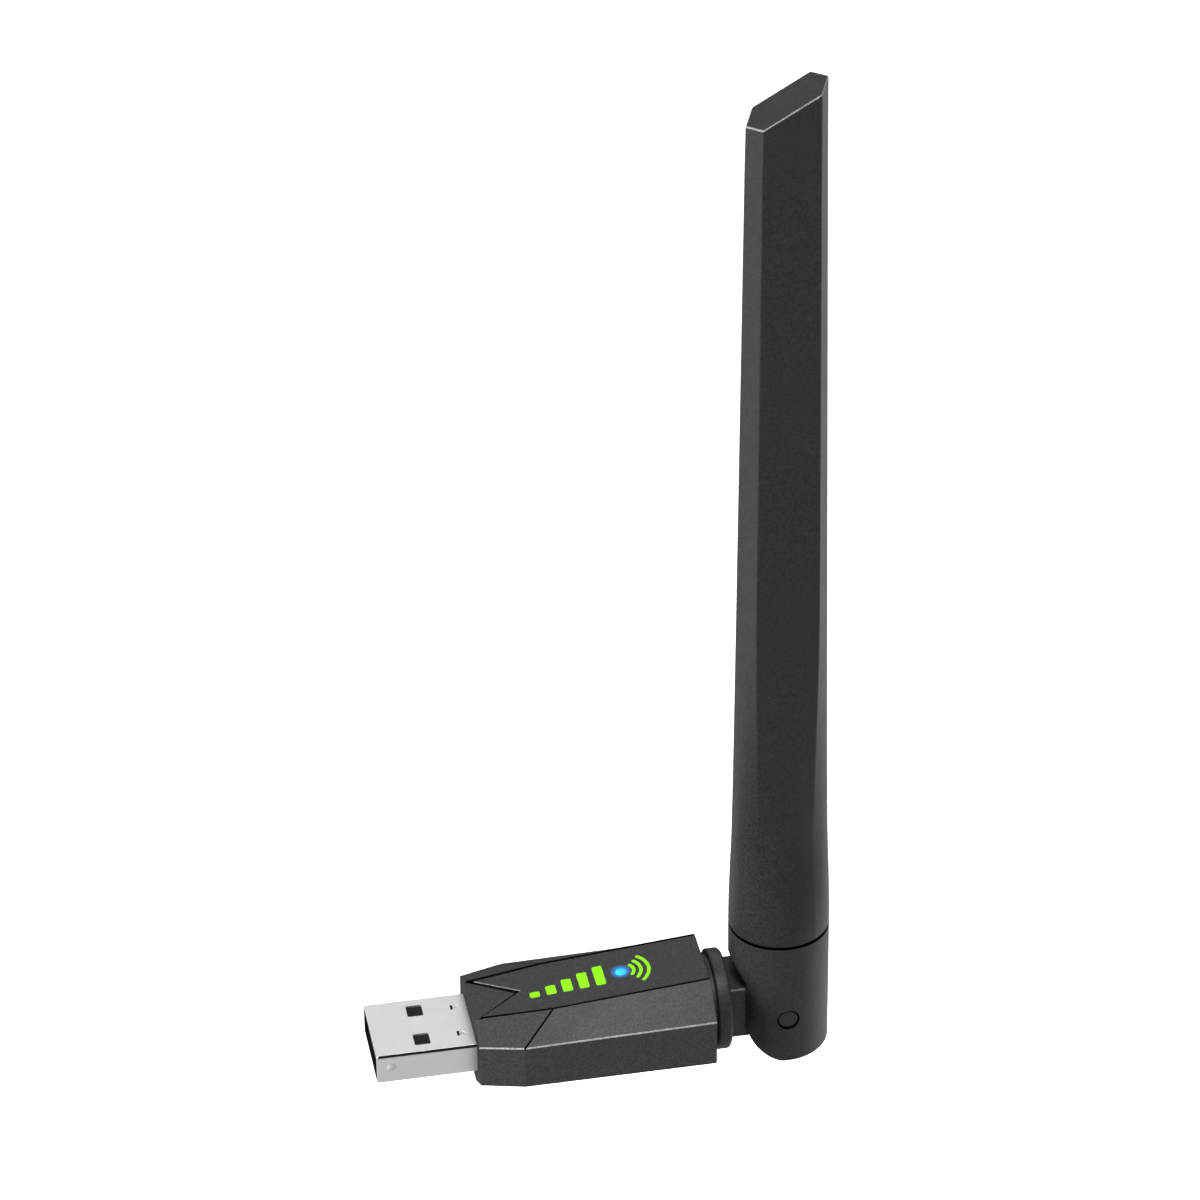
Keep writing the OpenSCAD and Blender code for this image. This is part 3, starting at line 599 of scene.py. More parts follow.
class ADAPTER_OT_upper_shell(Operator):
    """Make the upper case shell with its panel pocket and style grooves"""
    bl_idname = "adapter.upper_shell"
    bl_label = "Upper Shell"

    def execute(self, context):
        settings = context.scene.adapter
        case, plug, joint = settings.case, settings.plug, settings.joint
        plastic, shadow = case_plastic(settings), groove_shadow()
        seam = -case.seam / MM
        shell = upper_solid(case, 0.0, 0.0, seam, plastic)
        # Slot 1: the case plastic nine times paler, a painted highlight along the side ridges.
        shell.data.materials.append(painted_highlight_edge("case_edge", case.plastic, 9.0))

        def on_ridge(a, b):
            return all(abs(v.z - ridge_level(case, v.x)) < 0.02 and abs(v.y) > side_half(case, v.x) - 0.05 for v in (a, b)) \
                and abs(a.x - b.x) > 0.1

        soften(shell, 0.13, 2, 12.0, on_ridge, 1)
        soften(shell, case.edge / MM, 3, 12.0, lambda a, b: not (abs(a.z - seam) < 0.01 and abs(b.z - seam) < 0.01)
               and not (abs(a.z - ridge_level(case, a.x)) < 0.3 and abs(b.z - ridge_level(case, b.x)) < 0.3
                        and abs(a.x - b.x) > 0.1))
        soften(shell, 0.07, 1, 40.0, lambda a, b: abs(a.z - seam) < 0.01 and abs(b.z - seam) < 0.01)
        nose = case.panel_nose / MM - 0.05
        hollow = upper_solid(case, 1.0, 2.2, seam - 1.0, plastic)
        carve(shell, [
            hollow,
            prism(panel_outline(case, 0.16, X_TAIL + 2), 0, 2.5, "Z", panel_place(case, 0.8), [shadow]),
            prism([(X_NOSE - 1, nose), (X_NOSE + 0.6, nose), (X_NOSE + case.notch / MM, 0), (X_NOSE + 0.6, -nose),
                   (X_NOSE - 1, -nose)], 0, 2, "Z", panel_place(case, 0.24), [plastic]),
            style_groove(case, 1, shadow), style_groove(case, -1, shadow),
            prism(rounded_rectangle(plug.half_width / MM + 0.07, plug.half_height / MM + 0.07, 0.6),
                  X_NOSE - 1, X_NOSE + 2, "X", None, [shadow]),
            brick((X_NOSE - 1, -5.95, seam - 1), (X_NOSE + 2, 5.95, -1.0), [shadow]),
            lathe([(0, X_TAIL - 3), (3.08, X_TAIL - 3), (3.08, X_TAIL - 0.2), (3.3, X_TAIL + 0.01),
                   (3.3, X_TAIL + 1), (0, X_TAIL + 1)], "X", 64, (0, 0, Z_AXIS), [shadow]),
            lathe([(0, 1), (0.86, 1), (0.86, 12), (0, 12)], "Z", 48,
                  (X_NOSE + settings.marks.lamp_reach / MM, 0, 0), [shadow]),
        ])
        shade_nose(shell, case)
        finish_piece(shell, "upper_case", "adapter", ["upper_shell"])
        return {"FINISHED"}


class ADAPTER_OT_lower_shell(Operator):
    """Make the lower case shell with its label recess"""
    bl_idname = "adapter.lower_shell"
    bl_label = "Lower Shell"

    def execute(self, context):
        settings = context.scene.adapter
        case = settings.case
        plastic, shadow = case_plastic(settings), groove_shadow()
        top, bottom = -case.seam / MM - 0.06, -case.belly / MM
        shoulder = X_NOSE + case.nose_taper / MM

        def tray(inset, high):
            rings = []
            for x in (X_NOSE, shoulder, X_TAIL):
                at = X_NOSE + inset if x == X_NOSE else X_TAIL - inset if x == X_TAIL else x
                w = side_half(case, x)
                belly = w - 4.05 - inset * 0.5
                rings.append([(at, -belly, bottom + inset), (at, belly, bottom + inset),
                              (at, w - inset, high), (at, -(w - inset), high)])
            return loft(rings, [plastic])

        shell = tray(0.0, top)
        soften(shell, case.edge / MM, 3, 12.0, lambda a, b: not (abs(a.z - top) < 0.01 and abs(b.z - top) < 0.01))
        soften(shell, 0.07, 1, 40.0, lambda a, b: abs(a.z - top) < 0.01 and abs(b.z - top) < 0.01)
        recess = prism([(x + (X_NOSE + X_TAIL) / 2 + 1.2, y) for x, y in rounded_rectangle(9.4, 3.6, 0.8)],
                       bottom - 1, bottom + 0.25, "Z", None, [plastic])
        carve(shell, [tray(1.0, top + 1.8), recess])
        tongue = brick((X_NOSE, -5.9, -3.2), (X_NOSE + 1.0, 5.9, -2.32), [plastic])
        carve(shell, [tongue], "UNION")
        shade_nose(shell, case)
        finish_piece(shell, "lower_case", "adapter", ["lower_shell"])
        return {"FINISHED"}


class ADAPTER_OT_top_panel(Operator):
    """Make the separate top panel with its arrow notch"""
    bl_idname = "adapter.top_panel"
    bl_label = "Top Panel"

    def execute(self, context):
        settings = context.scene.adapter
        case, marks = settings.case, settings.marks
        lamp_x = X_NOSE + marks.lamp_reach / MM
        place = panel_place(case)
        centre = tuple(v * MM for v in (lamp_x, 0, panel_level(case, lamp_x)))
        # The panel's plastic carries a painted glow round the lamp's window.
        plastic = finish("panel_plastic", glowing_panel, tuple(case.panel), centre, tuple(marks.light))
        panel = prism(panel_outline(case, -0.24, X_TAIL + 0.1), -0.7, 0.0, "Z", place, [plastic])
        carve(panel, [brick((X_TAIL - 0.02, -9, 0), (X_TAIL + 3, 9, 12), [plastic])])
        soften(panel, 0.1, 2, 40.0)
        # Slot 1 is near black painted shade for the upright walls; slot 2, five times paler, is a painted highlight
        # for the bevels facing the nose and the near side.
        panel.data.materials.append(groove_shadow())
        panel.data.materials.append(painted_highlight_edge("panel_edge", case.panel, 5.0))
        for face in panel.data.polygons:
            if abs(face.normal.z) < 0.3:
                face.material_index = 1
            elif 0.3 < face.normal.z < 0.97 and face.normal.x < -0.15 and face.normal.y < -0.15:
                face.material_index = 2
        carve(panel, [lathe([(0, 1), (0.84, 1), (0.84, 12), (0, 12)], "Z", 48, (lamp_x, 0, 0), [plastic])])
        finish_piece(panel, "case_panel", "adapter", ["top_panel"])
        return {"FINISHED"}


class ADAPTER_OT_lamp(Operator):
    """Make the lamp's lit window in the panel"""
    bl_idname = "adapter.lamp"
    bl_label = "Lamp Window"

    def execute(self, context):
        settings = context.scene.adapter
        case, marks = settings.case, settings.marks
        x = X_NOSE + marks.lamp_reach / MM
        lens = finish("lamp_lens", lit_lens, tuple(marks.light))
        radius = marks.lamp_radius / MM
        profile = [(0, -5.2)] + [(radius, -5.2), (radius, -0.12)]
        profile += [(radius * math.cos(a), -0.12 + 0.16 * math.sin(a)) for a in
                    [math.radians(v) for v in (15, 30, 45, 60, 75)]] + [(0, 0.04)]
        pipe = lathe(profile, "Z", 48, (0, 0, 0), [lens])
        rise = (case.tail_height - case.nose_height) / MM / (X_TAIL - X_NOSE)
        pipe.data.transform(Matrix.Translation((x, 0, panel_level(case, x))) 
                            @ Matrix.Rotation(-math.atan(rise), 4, "Y"))
        finish_piece(pipe, "lamp_window", "adapter", ["light_pipe"])
        return {"FINISHED"}


class ADAPTER_OT_marks(Operator):
    """Print plain rising bars and three signal arcs on the panel"""
    bl_idname = "adapter.marks"
    bl_label = "Printed Marks"

    def execute(self, context):
        settings = context.scene.adapter
        case, marks = settings.case, settings.marks
        ink = finish("mark_ink", printed_ink, tuple(marks.ink))
        place = panel_place(case)
        pieces = []
        start, pitch, wide = X_NOSE + 8.7, 2.25, 1.35
        for i in range(marks.bars):
            tall = marks.bar_height / MM * (0.28 + 0.72 * i / (marks.bars - 1))
            middle = (start + i * pitch, -marks.bar_height / MM / 2 + tall / 2)
            outline = [(middle[0] + a, middle[1] + b) for a, b in rounded_rectangle(wide / 2, tall / 2, 0.25, 4)]
            pieces.append(prism(outline, -0.01, 0.025, "Z", place, [ink]))
        lamp = X_NOSE + marks.lamp_reach / MM
        lamp += 0.3
        for radius, spread in ((1.56, 40), (2.54, 44), (3.59, 46)):
            half = 0.24
            outline = arc(lamp, 0, radius + half, -spread, spread, 20)
            end = [(lamp + radius * math.cos(math.radians(spread)), radius * math.sin(math.radians(spread)))]
            outline += arc(end[0][0], end[0][1], half, spread, spread + 180, 6)[1:-1]
            outline += arc(lamp, 0, radius - half, spread, -spread, 20)
            outline += arc(end[0][0], -end[0][1], half, 180 - spread, 360 - spread, 6)[1:-1]
            pieces.append(prism(outline, -0.01, 0.025, "Z", place, [ink]))
        bm = bmesh.new()
        for piece in pieces:
            bm.from_mesh(piece.data)
            bpy.data.objects.remove(piece)
        marks_piece = work_object(bm, [ink])
        finish_piece(marks_piece, "printed_marks", "adapter", (), 30.0, False)
        return {"FINISHED"}


# ---------------------------------------------------------------- plug


class ADAPTER_OT_plug(Operator):
    """Make the folded metal plug with windows, latch slots and seams"""
    bl_idname = "adapter.plug"
    bl_label = "Plug Shell"

    def execute(self, context):
        plug = context.scene.adapter.plug
        metal = finish("plug_metal", plated_metal, tuple(plug.metal), 0.48, (0.4, 1, 1), 0.92)
        dark = finish("fold_shadow", speckled, (0.004, 0.004, 0.004), 0.85, 1200.0)
        a, b, sheet, bend = (v / MM for v in (plug.half_width, plug.half_height, plug.sheet, plug.bend))

        def ring(inset, x):
            return [(x, y, z) for y, z in rounded_rectangle(a - inset, b - inset, bend - inset, 6)]

        shell = loft([ring(0.12, 0.0), ring(0.03, 0.05), ring(0.0, 0.14), ring(0.0, PLUG_END)], [metal])
        hole = loft([ring(sheet - 0.10, -1), ring(sheet - 0.10, 0.0), ring(sheet, 0.16),
                ring(sheet, PLUG_END + 1)], [dark])
        cutters = [hole]
        for y in (-3.15, 3.15):
            outline = [(6.5 + u, y + v) for u, v in rounded_rectangle(plug.window_length / MM / 2,
                                                                      plug.window_width / MM / 2, 0.22, 5)]
            cutters.append(prism(outline, -4, 4, "Z", None, [metal]))
        for y in (-2.9, 2.9):
            outline = [(11.47 + u, y + v) for u, v in rounded_rectangle(0.17, 0.52, 0.1, 3)]
            cutters.append(prism(outline, 1, 4, "Z", None, [dark]))
            cutters.append(prism(outline, -4, -1, "Z", None, [dark]))
            for side in (-1, 1):
                cutters.append(dent((12.25, y, side * (b + 0.30)), (0.75, 0.6, 0.42), metal))
        for side in (-1, 1):
            cutters.append(dent((2.0, side * (a + 0.62), 0.35), (1.15, 0.80, 1.0), metal))
            groove_y = side * (a - 0.13)
            cutters.append(brick((0.25, groove_y - 0.17, b - 0.32),
                    (PLUG_END - 0.3, groove_y + 0.17, b + 0.5), [dark]))
        cutters.append(brick((-0.5, -0.05, -b - 0.5), (PLUG_END - 0.3, 0.05, -b + 0.12), [dark]))
        carve(shell, cutters)
        # Thin near black pads inside the windows: painted shade behind the openings.
        painted_shade_pads = [brick((5.1, y - 1.45, b - sheet - 0.07), (7.9, y + 1.45, b - sheet + 0.05), [dark])
                for y in (-3.15, 3.15)]
        for pad in painted_shade_pads:
            carve(shell, [pad], "UNION")
        for side in (-1, 1):
            y = side * (a - sheet / 2)
            carve(shell, [brick((PLUG_END - 0.5, y - sheet / 2, 0.2),
                    (PLUG_END + 2.3, y + sheet / 2, 1.6), [metal])], "UNION")
            carve(shell, [brick((PLUG_END + 1.1, y - sheet / 2, -2.0),
                    (PLUG_END + 2.3, y + sheet / 2, 0.5), [metal])], "UNION")
        finish_piece(shell, "plug_shell", "adapter", ["usb_shell"])
        return {"FINISHED"}


def dent(centre, size, material):
    """A flattened ball that presses a shallow dent."""
    bm = bmesh.new()
    bmesh.ops.create_uvsphere(bm, u_segments=32, v_segments=16, radius=1.0)
    bm.transform(Matrix.Translation(centre) @ Matrix.Diagonal(Vector(size)).to_4x4())
    return work_object(bm, [material])


# ---------------------------------------------------------------- joints


class ADAPTER_OT_knuckle(Operator):
    """Make the swivel knuckle: collar, disc, shaft and eyed neck"""
    bl_idname = "adapter.knuckle"
    bl_label = "Swivel Knuckle"

    def execute(self, context):
        settings = context.scene.adapter
        joint = settings.joint
        # The joint plastic 2.2 times lighter than the fork's: painted light on a part that the case and base keep in
        # shade.
        plastic = finish("knuckle_plastic", moulded_plastic, tuple(2.2 * c for c in joint.plastic))
        # A paler copy of the joint plastic: a painted highlight on the neck's rounded edges.
        edge = painted_highlight_edge("knuckle_edge", joint.plastic, 7.0)
        disc, collar, eye, half = (v / MM for v in
                (joint.disc_radius, joint.collar_radius, joint.eye_radius, joint.neck_half))
        x0 = X_TAIL + 0.3
        x1 = x0 + joint.collar / MM
        x2 = x1 + joint.disc / MM
        profile = [(1.4, X_TAIL - 4.6), (2.9, X_TAIL - 4.6), (3.0, X_TAIL - 4.5), (3.0, X_TAIL - 4.25),
                   (2.5, X_TAIL - 4.25), (2.5, X_TAIL - 3.55), (3.0, X_TAIL - 3.55), (3.0, X_TAIL - 2.2),
                   (2.15, X_TAIL - 2.2), (2.15, X_TAIL - 1.1), (3.0, X_TAIL - 1.1), (3.0, x0),
                   (collar - 0.2, x0), (collar - 0.06, x0 + 0.06), (collar, x0 + 0.2), (collar, x1)]
        profile += [(disc - 0.3, x1)]
        profile += [(disc - 0.3 + 0.3 * math.sin(t), x1 + 0.3 - 0.3 * math.cos(t))
                    for t in [math.radians(v) for v in (22.5, 45, 67.5, 90)]]
        profile += [(disc - 0.5 + 0.5 * math.cos(t), x2 - 0.5 + 0.5 * math.sin(t))
                    for t in [math.radians(v) for v in (0, 15, 30, 45, 60, 75, 90)]]
        profile += [(1.4, x2)]
        knuckle = lathe(profile, "X", 128, (0, 0, Z_AXIS), [plastic])
        outline = [(x2 - 0.4, -eye), (X_HINGE, -eye)] + arc(X_HINGE, 0, eye, -90, 90, 28)[1:-1] \
            + [(X_HINGE, eye), (x2 - 0.4, eye)]
        neck = prism(outline, -half, half, "Y", Matrix.Translation((0, 0, Z_AXIS)), [plastic, edge])
        soften(neck, 0.22, 3, 40.0, None, 1)
        carve(knuckle, [neck], "UNION")
        cutters = [
            lathe([(0, X_TAIL - 6), (1.4, X_TAIL - 6), (1.4, X_HINGE), (0, X_HINGE)], "X", 48,
                    (0, 0, Z_AXIS), [plastic]),
            brick((X_HINGE - 1.6, -1.5, Z_AXIS - 1.6), (X_HINGE + 5, 1.5, Z_AXIS + 5), [plastic]),
            lathe([(0, -9), (1.36, -9), (1.36, 9), (0, 9)], "Y", 48, (X_HINGE, 0, Z_AXIS), [plastic]),
        ]
        for side in (-1, 1):
            cutters.append(lathe([(0, side * half - 0.5), (2.7, side * half - 0.5), (2.7, side * half + 0.5),
                                  (0, side * half + 0.5)], "Y", 48, (X_HINGE, 0, Z_AXIS), [plastic]))
        carve(knuckle, cutters)
        finish_piece(knuckle, "knuckle", "knuckle", ["swivel_knuckle"])
        return {"FINISHED"}


class ADAPTER_OT_fork(Operator):
    """Make the round antenna base with its fork and spigot"""
    bl_idname = "adapter.fork"
    bl_label = "Antenna Fork"

    def execute(self, context):
        settings = context.scene.adapter
        joint = settings.joint
        plastic = finish("fork_plastic", moulded_plastic, tuple(joint.plastic))
        shadow = groove_shadow()
        radius, top, foot, pin = (v / MM for v in
                (joint.base_radius, joint.base_height, joint.foot_drop, joint.pin_radius))
        centre = (X_HINGE, 0, Z_AXIS)
        spigot = radius - 1.7
        profile = [(0, -foot), (radius - 0.35, -foot)]
        profile += [(radius - 0.35 + 0.35 * math.sin(t), -foot + 0.35 - 0.35 * math.cos(t))
                    for t in [math.radians(v) for v in (22.5, 45, 67.5, 90)]]
        lip = top - 0.14
        profile += [(radius, lip - 0.10), (radius - 0.03, lip - 0.03), (radius - 0.10, lip), (0, lip)]
        base = lathe(profile, "Z", 144, centre, [plastic])
        bend = joint.foot_round / MM
        keep = arc(0.6, bend - foot, bend, 180, 270, 24) + [(9, -foot), (9, 20), (-9, 20), (-9, bend - foot)]
        carve(base, [prism(keep, -9, 9, "Y", Matrix.Translation(centre), [plastic])], "INTERSECT")
        slot_half, slot_radius = joint.neck_half / MM + 0.3, joint.eye_radius / MM + 0.45
        slot = [(-9, -9), (slot_radius, -9)] + arc(0, 0, slot_radius, 0, 90, 16) + [(-5, slot_radius),
                (-8, slot_radius + 5), (-9, slot_radius + 5)]
        carve(base, [prism(slot, -slot_half, slot_half, "Y", Matrix.Translation(centre), [plastic])])
        soften(base, 0.16, 2, 38.0)
        ring_cut = [(spigot - 0.02, top - 0.5), (radius - 0.12, top - 0.5), (radius - 0.12, top + 1),
                    (spigot - 0.02, top + 1)]
        carve(base, [lathe(ring_cut, "Z", 144, centre, [shadow])])
        carve(base, [lathe([(0, top - 1), (spigot, top - 1), (spigot, top + 3.3),
                (spigot - 0.2, top + 3.5), (0, top + 3.5)],
                           "Z", 144, centre, [shadow])], "UNION")
        cutters = [lathe([(0, 0), (1.6, 0), (1.6, 30), (0, 30)], "Z", 48, centre, [plastic])]
        for side in (-1, 1):
            cutters.append(lathe([(0, side * (radius - 0.5)), (pin + 0.25, side * (radius - 0.5)),
                                  (pin + 0.25, side * (radius + 1)), (0, side * (radius + 1))], "Y", 64, centre,
                                          [shadow]))
        cutters.append(lathe([(0, -9), (pin + 0.02, -9), (pin + 0.02, 9), (0, 9)], "Y", 64, centre, [shadow]))
        carve(base, cutters)
        finish_piece(base, "antenna_fork", "antenna", ["antenna_base"])
        for side, node in ((-1, "hinge_pin_near"), (1, "hinge_pin_far")):
            end = radius - 0.1
            shape = [(0, 1.9), (pin, 1.9), (pin, end - 0.25)]
            shape += [(pin - 0.22 + 0.22 * math.cos(t), end - 0.25 + 0.2 * math.sin(t))
                      for t in [math.radians(v) for v in (30, 60, 90)]] + [(0, end)]
            piece = lathe([(r, side * t) for r, t in shape], "Y", 64, centre, [plastic])
            finish_piece(piece, "pin_" + ("near" if side < 0 else "far"), "antenna", [node])
        return {"FINISHED"}


def ease(a, b, value):
    """Blend from 0 at a to 1 at b with a soft start and end."""
    t = max(0.0, min(1.0, (value - a) / (b - a)))
    return t * t * (3 - 2 * t)


def blade_ring(blade, joint, h, inset=0.0):
    """One outline of the blade at height h above the fold axis."""
    low, tall, radius = joint.base_height / MM, blade.height / MM, joint.base_radius / MM
    t = (h - low) / (tall - low)

    def between(one, two):
        return (one + (two - one) * t) / MM / 2

    g = between(blade.width_low, blade.width_top) - inset
    f = between(blade.face_low, blade.face_top) - inset * 0.6
    d = between(blade.depth_low, blade.depth_top) - inset
    flare, soft = 1 - ease(low, 28, h), 1 - ease(20, 64, h)
    corners = [(g, 0), (f, d), (-f, d), (-g, 0), (-f, -d), (f, -d)]
    points = []
    edge = blade.edge / MM
    for i in range(6):
        before, here, after = (Vector(corners[k % 6]) for k in (i - 1, i, i + 1))
        one, two = (before - here).normalized(), (after - here).normalized()
        turn = one.angle(two) / 2
        reach = edge / math.tan(turn)
        middle = here + (one + two).normalized() * (edge / math.sin(turn))
        begin, end = here + one * reach, here + two * reach
        a0 = math.atan2(begin.y - middle.y, begin.x - middle.x)
        a1 = math.atan2(end.y - middle.y, end.x - middle.x)
        while a1 < a0:
            a1 += 2 * math.pi
        for k in range(5):
            a = a0 + (a1 - a0) * k / 4
            points.append(Vector((middle.x + edge * math.cos(a), middle.y + edge * math.sin(a))))
        following = Vector(corners[(i + 1) % 6])
        three, four = (here - following).normalized(), (Vector(corners[(i + 2) % 6]) - following).normalized()
        stop = following + three * (edge / math.tan(three.angle(four) / 2))
        for k in range(1, 7):
            points.append(end + (stop - end) * k / 7)
    result = []
    for p in points:
        angle = math.atan2(p.y / d, p.x / g)
        wide = g + (radius - inset - g) * flare
        deep = d * 1.06 + (radius - inset - d * 1.06) * flare
        oval = Vector((wide * math.cos(angle), deep * math.sin(angle)))
        result.append(p * (1 - soft) + oval * soft)
    return result


class ADAPTER_OT_blade(Operator):
    """Make the tall antenna cover, round at its foot and six-sided above"""
    bl_idname = "adapter.blade"
    bl_label = "Antenna Blade"

    def execute(self, context):
        settings = context.scene.adapter
        blade, joint = settings.blade, settings.joint
        plastic = finish("blade_plastic", moulded_plastic, tuple(blade.plastic))
        foot = (joint.base_height + blade.groove) / MM
        tall, slope = blade.height / MM, math.tan(blade.slant)

        def level(h, inset=0.0):
            return [Vector((p.x, p.y, h)) for p in blade_ring(blade, joint, h, inset)]

        rings = [level(foot + 4.0, 1.1), level(foot, 1.1),
                level(foot, 0.12), level(foot + 0.04, 0.04), level(foot + 0.14)]
        heights = [13.2, 14.2] + [15 + 1.5 * i for i in range(12)] + [33 + 2.5 * i for i in range(14)] \
            + [70, 80, 90, 100, 110, 120, 126]
        rings += [level(h) for h in heights]
        for drop, inset in ((0.15, 0.0), (0.08, 0.02), (0.03, 0.06), (0.0, 0.14)):
            rings.append([Vector((p.x, p.y, tall - drop + slope * p.x))
                    for p in blade_ring(blade, joint, tall, inset)])
        # The bands between the last four rings, round the slanted top's rim, take a paler painted highlight.
        cover = loft(rings, [plastic, painted_highlight_edge("blade_edge", blade.plastic, 12.0)], len(rings) - 4)
        cover.data.transform(Matrix.Translation((X_HINGE, 0, Z_AXIS)))
        finish_piece(cover, "antenna_blade", "antenna", ["antenna_cover"], 50.0)
        return {"FINISHED"}


class ADAPTER_OT_cable_bend(Operator):
    """Make the short bent run of cable through the fold"""
    bl_idname = "adapter.cable_bend"
    bl_label = "Cable Bend"

    def execute(self, context):
        jacket = finish("cable_jacket", speckled, (0.02, 0.02, 0.021), 0.45, 2500.0)
        radius = 0.62
        path = [Vector((X_HINGE - 1.9, 0, Z_AXIS))] + [
            Vector((X_HINGE - 1.6 + 1.6 * math.sin(a), 0, Z_AXIS + 1.6 - 1.6 * math.cos(a)))
            for a in [math.radians(v) for v in range(0, 91, 9)]] + [Vector((X_HINGE, 0, Z_AXIS + 2.0))]
        rings = []
        for i, p in enumerate(path):
            ahead = path[min(i + 1, len(path) - 1)] - path[max(i - 1, 0)]
            ahead.normalize()
            side = Vector((0, 1, 0))
            up = ahead.cross(side)
            rings.append([p + side * radius * math.cos(t) + up * radius * math.sin(t)
                          for t in [2 * math.pi * k / 20 for k in range(20)]])
        bend = loft(rings, [jacket])
        bend.data.transform(Matrix.Scale(MM, 4))
        bend.name = "cable_bend"
        for face in bend.data.polygons:
            face.use_smooth = True
        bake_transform(bend)
        return {"FINISHED"}


class ADAPTER_OT_inner_parts(Operator):
    """Give the frame's own parts their finishes"""
    bl_idname = "adapter.inner_parts"
    bl_label = "Inner Parts"

    def execute(self, context):
        choices = (
            (("insulator", speckled, (0.02, 0.02, 0.022), 0.55, 1400.0), ("usb_insulator",)),
            (("gold_contact", plated_metal, (0.42, 0.29, 0.11), 0.34, (1, 1, 1)), ("usb_contacts",)),
            (("board", speckled, (0.012, 0.10, 0.045), 0.35, 700.0), ("circuit_board",)),
            (("chip_black", speckled, (0.018, 0.018, 0.019), 0.6, 1600.0), ("wifi_chip", "power_chip",)),
            (("tin_plate", plated_metal, (0.70, 0.70, 0.71), 0.34, (1, 1, 1)), ("shield_can", "crystal",)),
            (("ferrite", speckled, (0.06, 0.055, 0.05), 0.65, 1500.0), ("power_coil",)),
            (("ceramic", speckled, (0.30, 0.20, 0.12), 0.5, 1200.0), ("chip_parts",)),
            (("lamp_body", speckled, (0.75, 0.80, 0.82), 0.35, 900.0), ("status_led",)),
            (("solder", plated_metal, (0.72, 0.73, 0.74), 0.3, (1, 1, 1)), ("cable_joint",)),
            (("cable_jacket", speckled, (0.02, 0.02, 0.021), 0.45, 2500.0), ("cable_inner", "cable_middle", "cable_upper",)),
            (("spring_steel", plated_metal, (0.62, 0.62, 0.63), 0.34, (1, 1, 1)), ("swivel_clip", "hinge_washers",)),
            (("seal_rubber", speckled, (0.016, 0.016, 0.016), 0.75, 2000.0), ("swivel_seal",)),
            (("sleeve_brass", plated_metal, (0.72, 0.52, 0.22), 0.3, (1, 1, 0.2)), ("dipole_sleeve",)),
            (("copper_wire", plated_metal, (0.80, 0.42, 0.24), 0.28, (1, 1, 0.3)), ("radiator_wire",)),
            (("foam", speckled, (0.72, 0.70, 0.64), 0.9, 1800.0), ("foam_spacers",)),
        )
        for (name, maker, *values), nodes in choices:
            for node in nodes:
                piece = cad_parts[node]
                piece.data.materials.clear()
                piece.data.materials.append(finish(name, maker, *values))
        return {"FINISHED"}


# ---------------------------------------------------------------- stage


def soft_light(name, place, aim, size, power, glare=True):
    """A rectangular studio light that faces a point, with or without a reflection."""
    data = bpy.data.lights.new(name, "AREA")
    data.shape = "RECTANGLE"
    data.size, data.size_y = size
    data.energy = power
    light = bpy.data.objects.new(name, data)
    bpy.context.scene.collection.objects.link(light)
    light.visible_glossy = glare
    light.location = place
    light.rotation_mode = "QUATERNION"
    light.rotation_quaternion = (Vector(aim) - Vector(place)).to_track_quat("-Z", "Y")


def studio_walls(tree, floor_level, lobes):
    """A dim room with soft pools of light in the given directions."""
    background = tree.nodes["Background"]
    background.inputs["Color"].default_value = (1, 1, 1, 1)
    place = add(tree, "ShaderNodeTexCoord")
    total = None
    for direction, strength in lobes:
        facing = add(tree, "ShaderNodeVectorMath", operation="DOT_PRODUCT")
        facing.inputs[1].default_value = Vector(direction).normalized()
        tree.links.new(place.outputs["Generated"], facing.inputs[0])
        front = add(tree, "ShaderNodeMath", operation="MAXIMUM")
        front.inputs[1].default_value = 0.0
        tree.links.new(facing.outputs["Value"], front.inputs[0])
        narrow = add(tree, "ShaderNodeMath", operation="POWER")
        narrow.inputs[1].default_value = 4.0
        tree.links.new(front.outputs[0], narrow.inputs[0])
        scaled = add(tree, "ShaderNodeMath", operation="MULTIPLY_ADD")
        scaled.inputs[1].default_value = strength
        scaled.inputs[2].default_value = floor_level
        tree.links.new(narrow.outputs[0], scaled.inputs[0])
        if total is not None:
            tree.links.new(total, scaled.inputs[2])
        total = scaled.outputs[0]
    tree.links.new(total, background.inputs["Strength"])


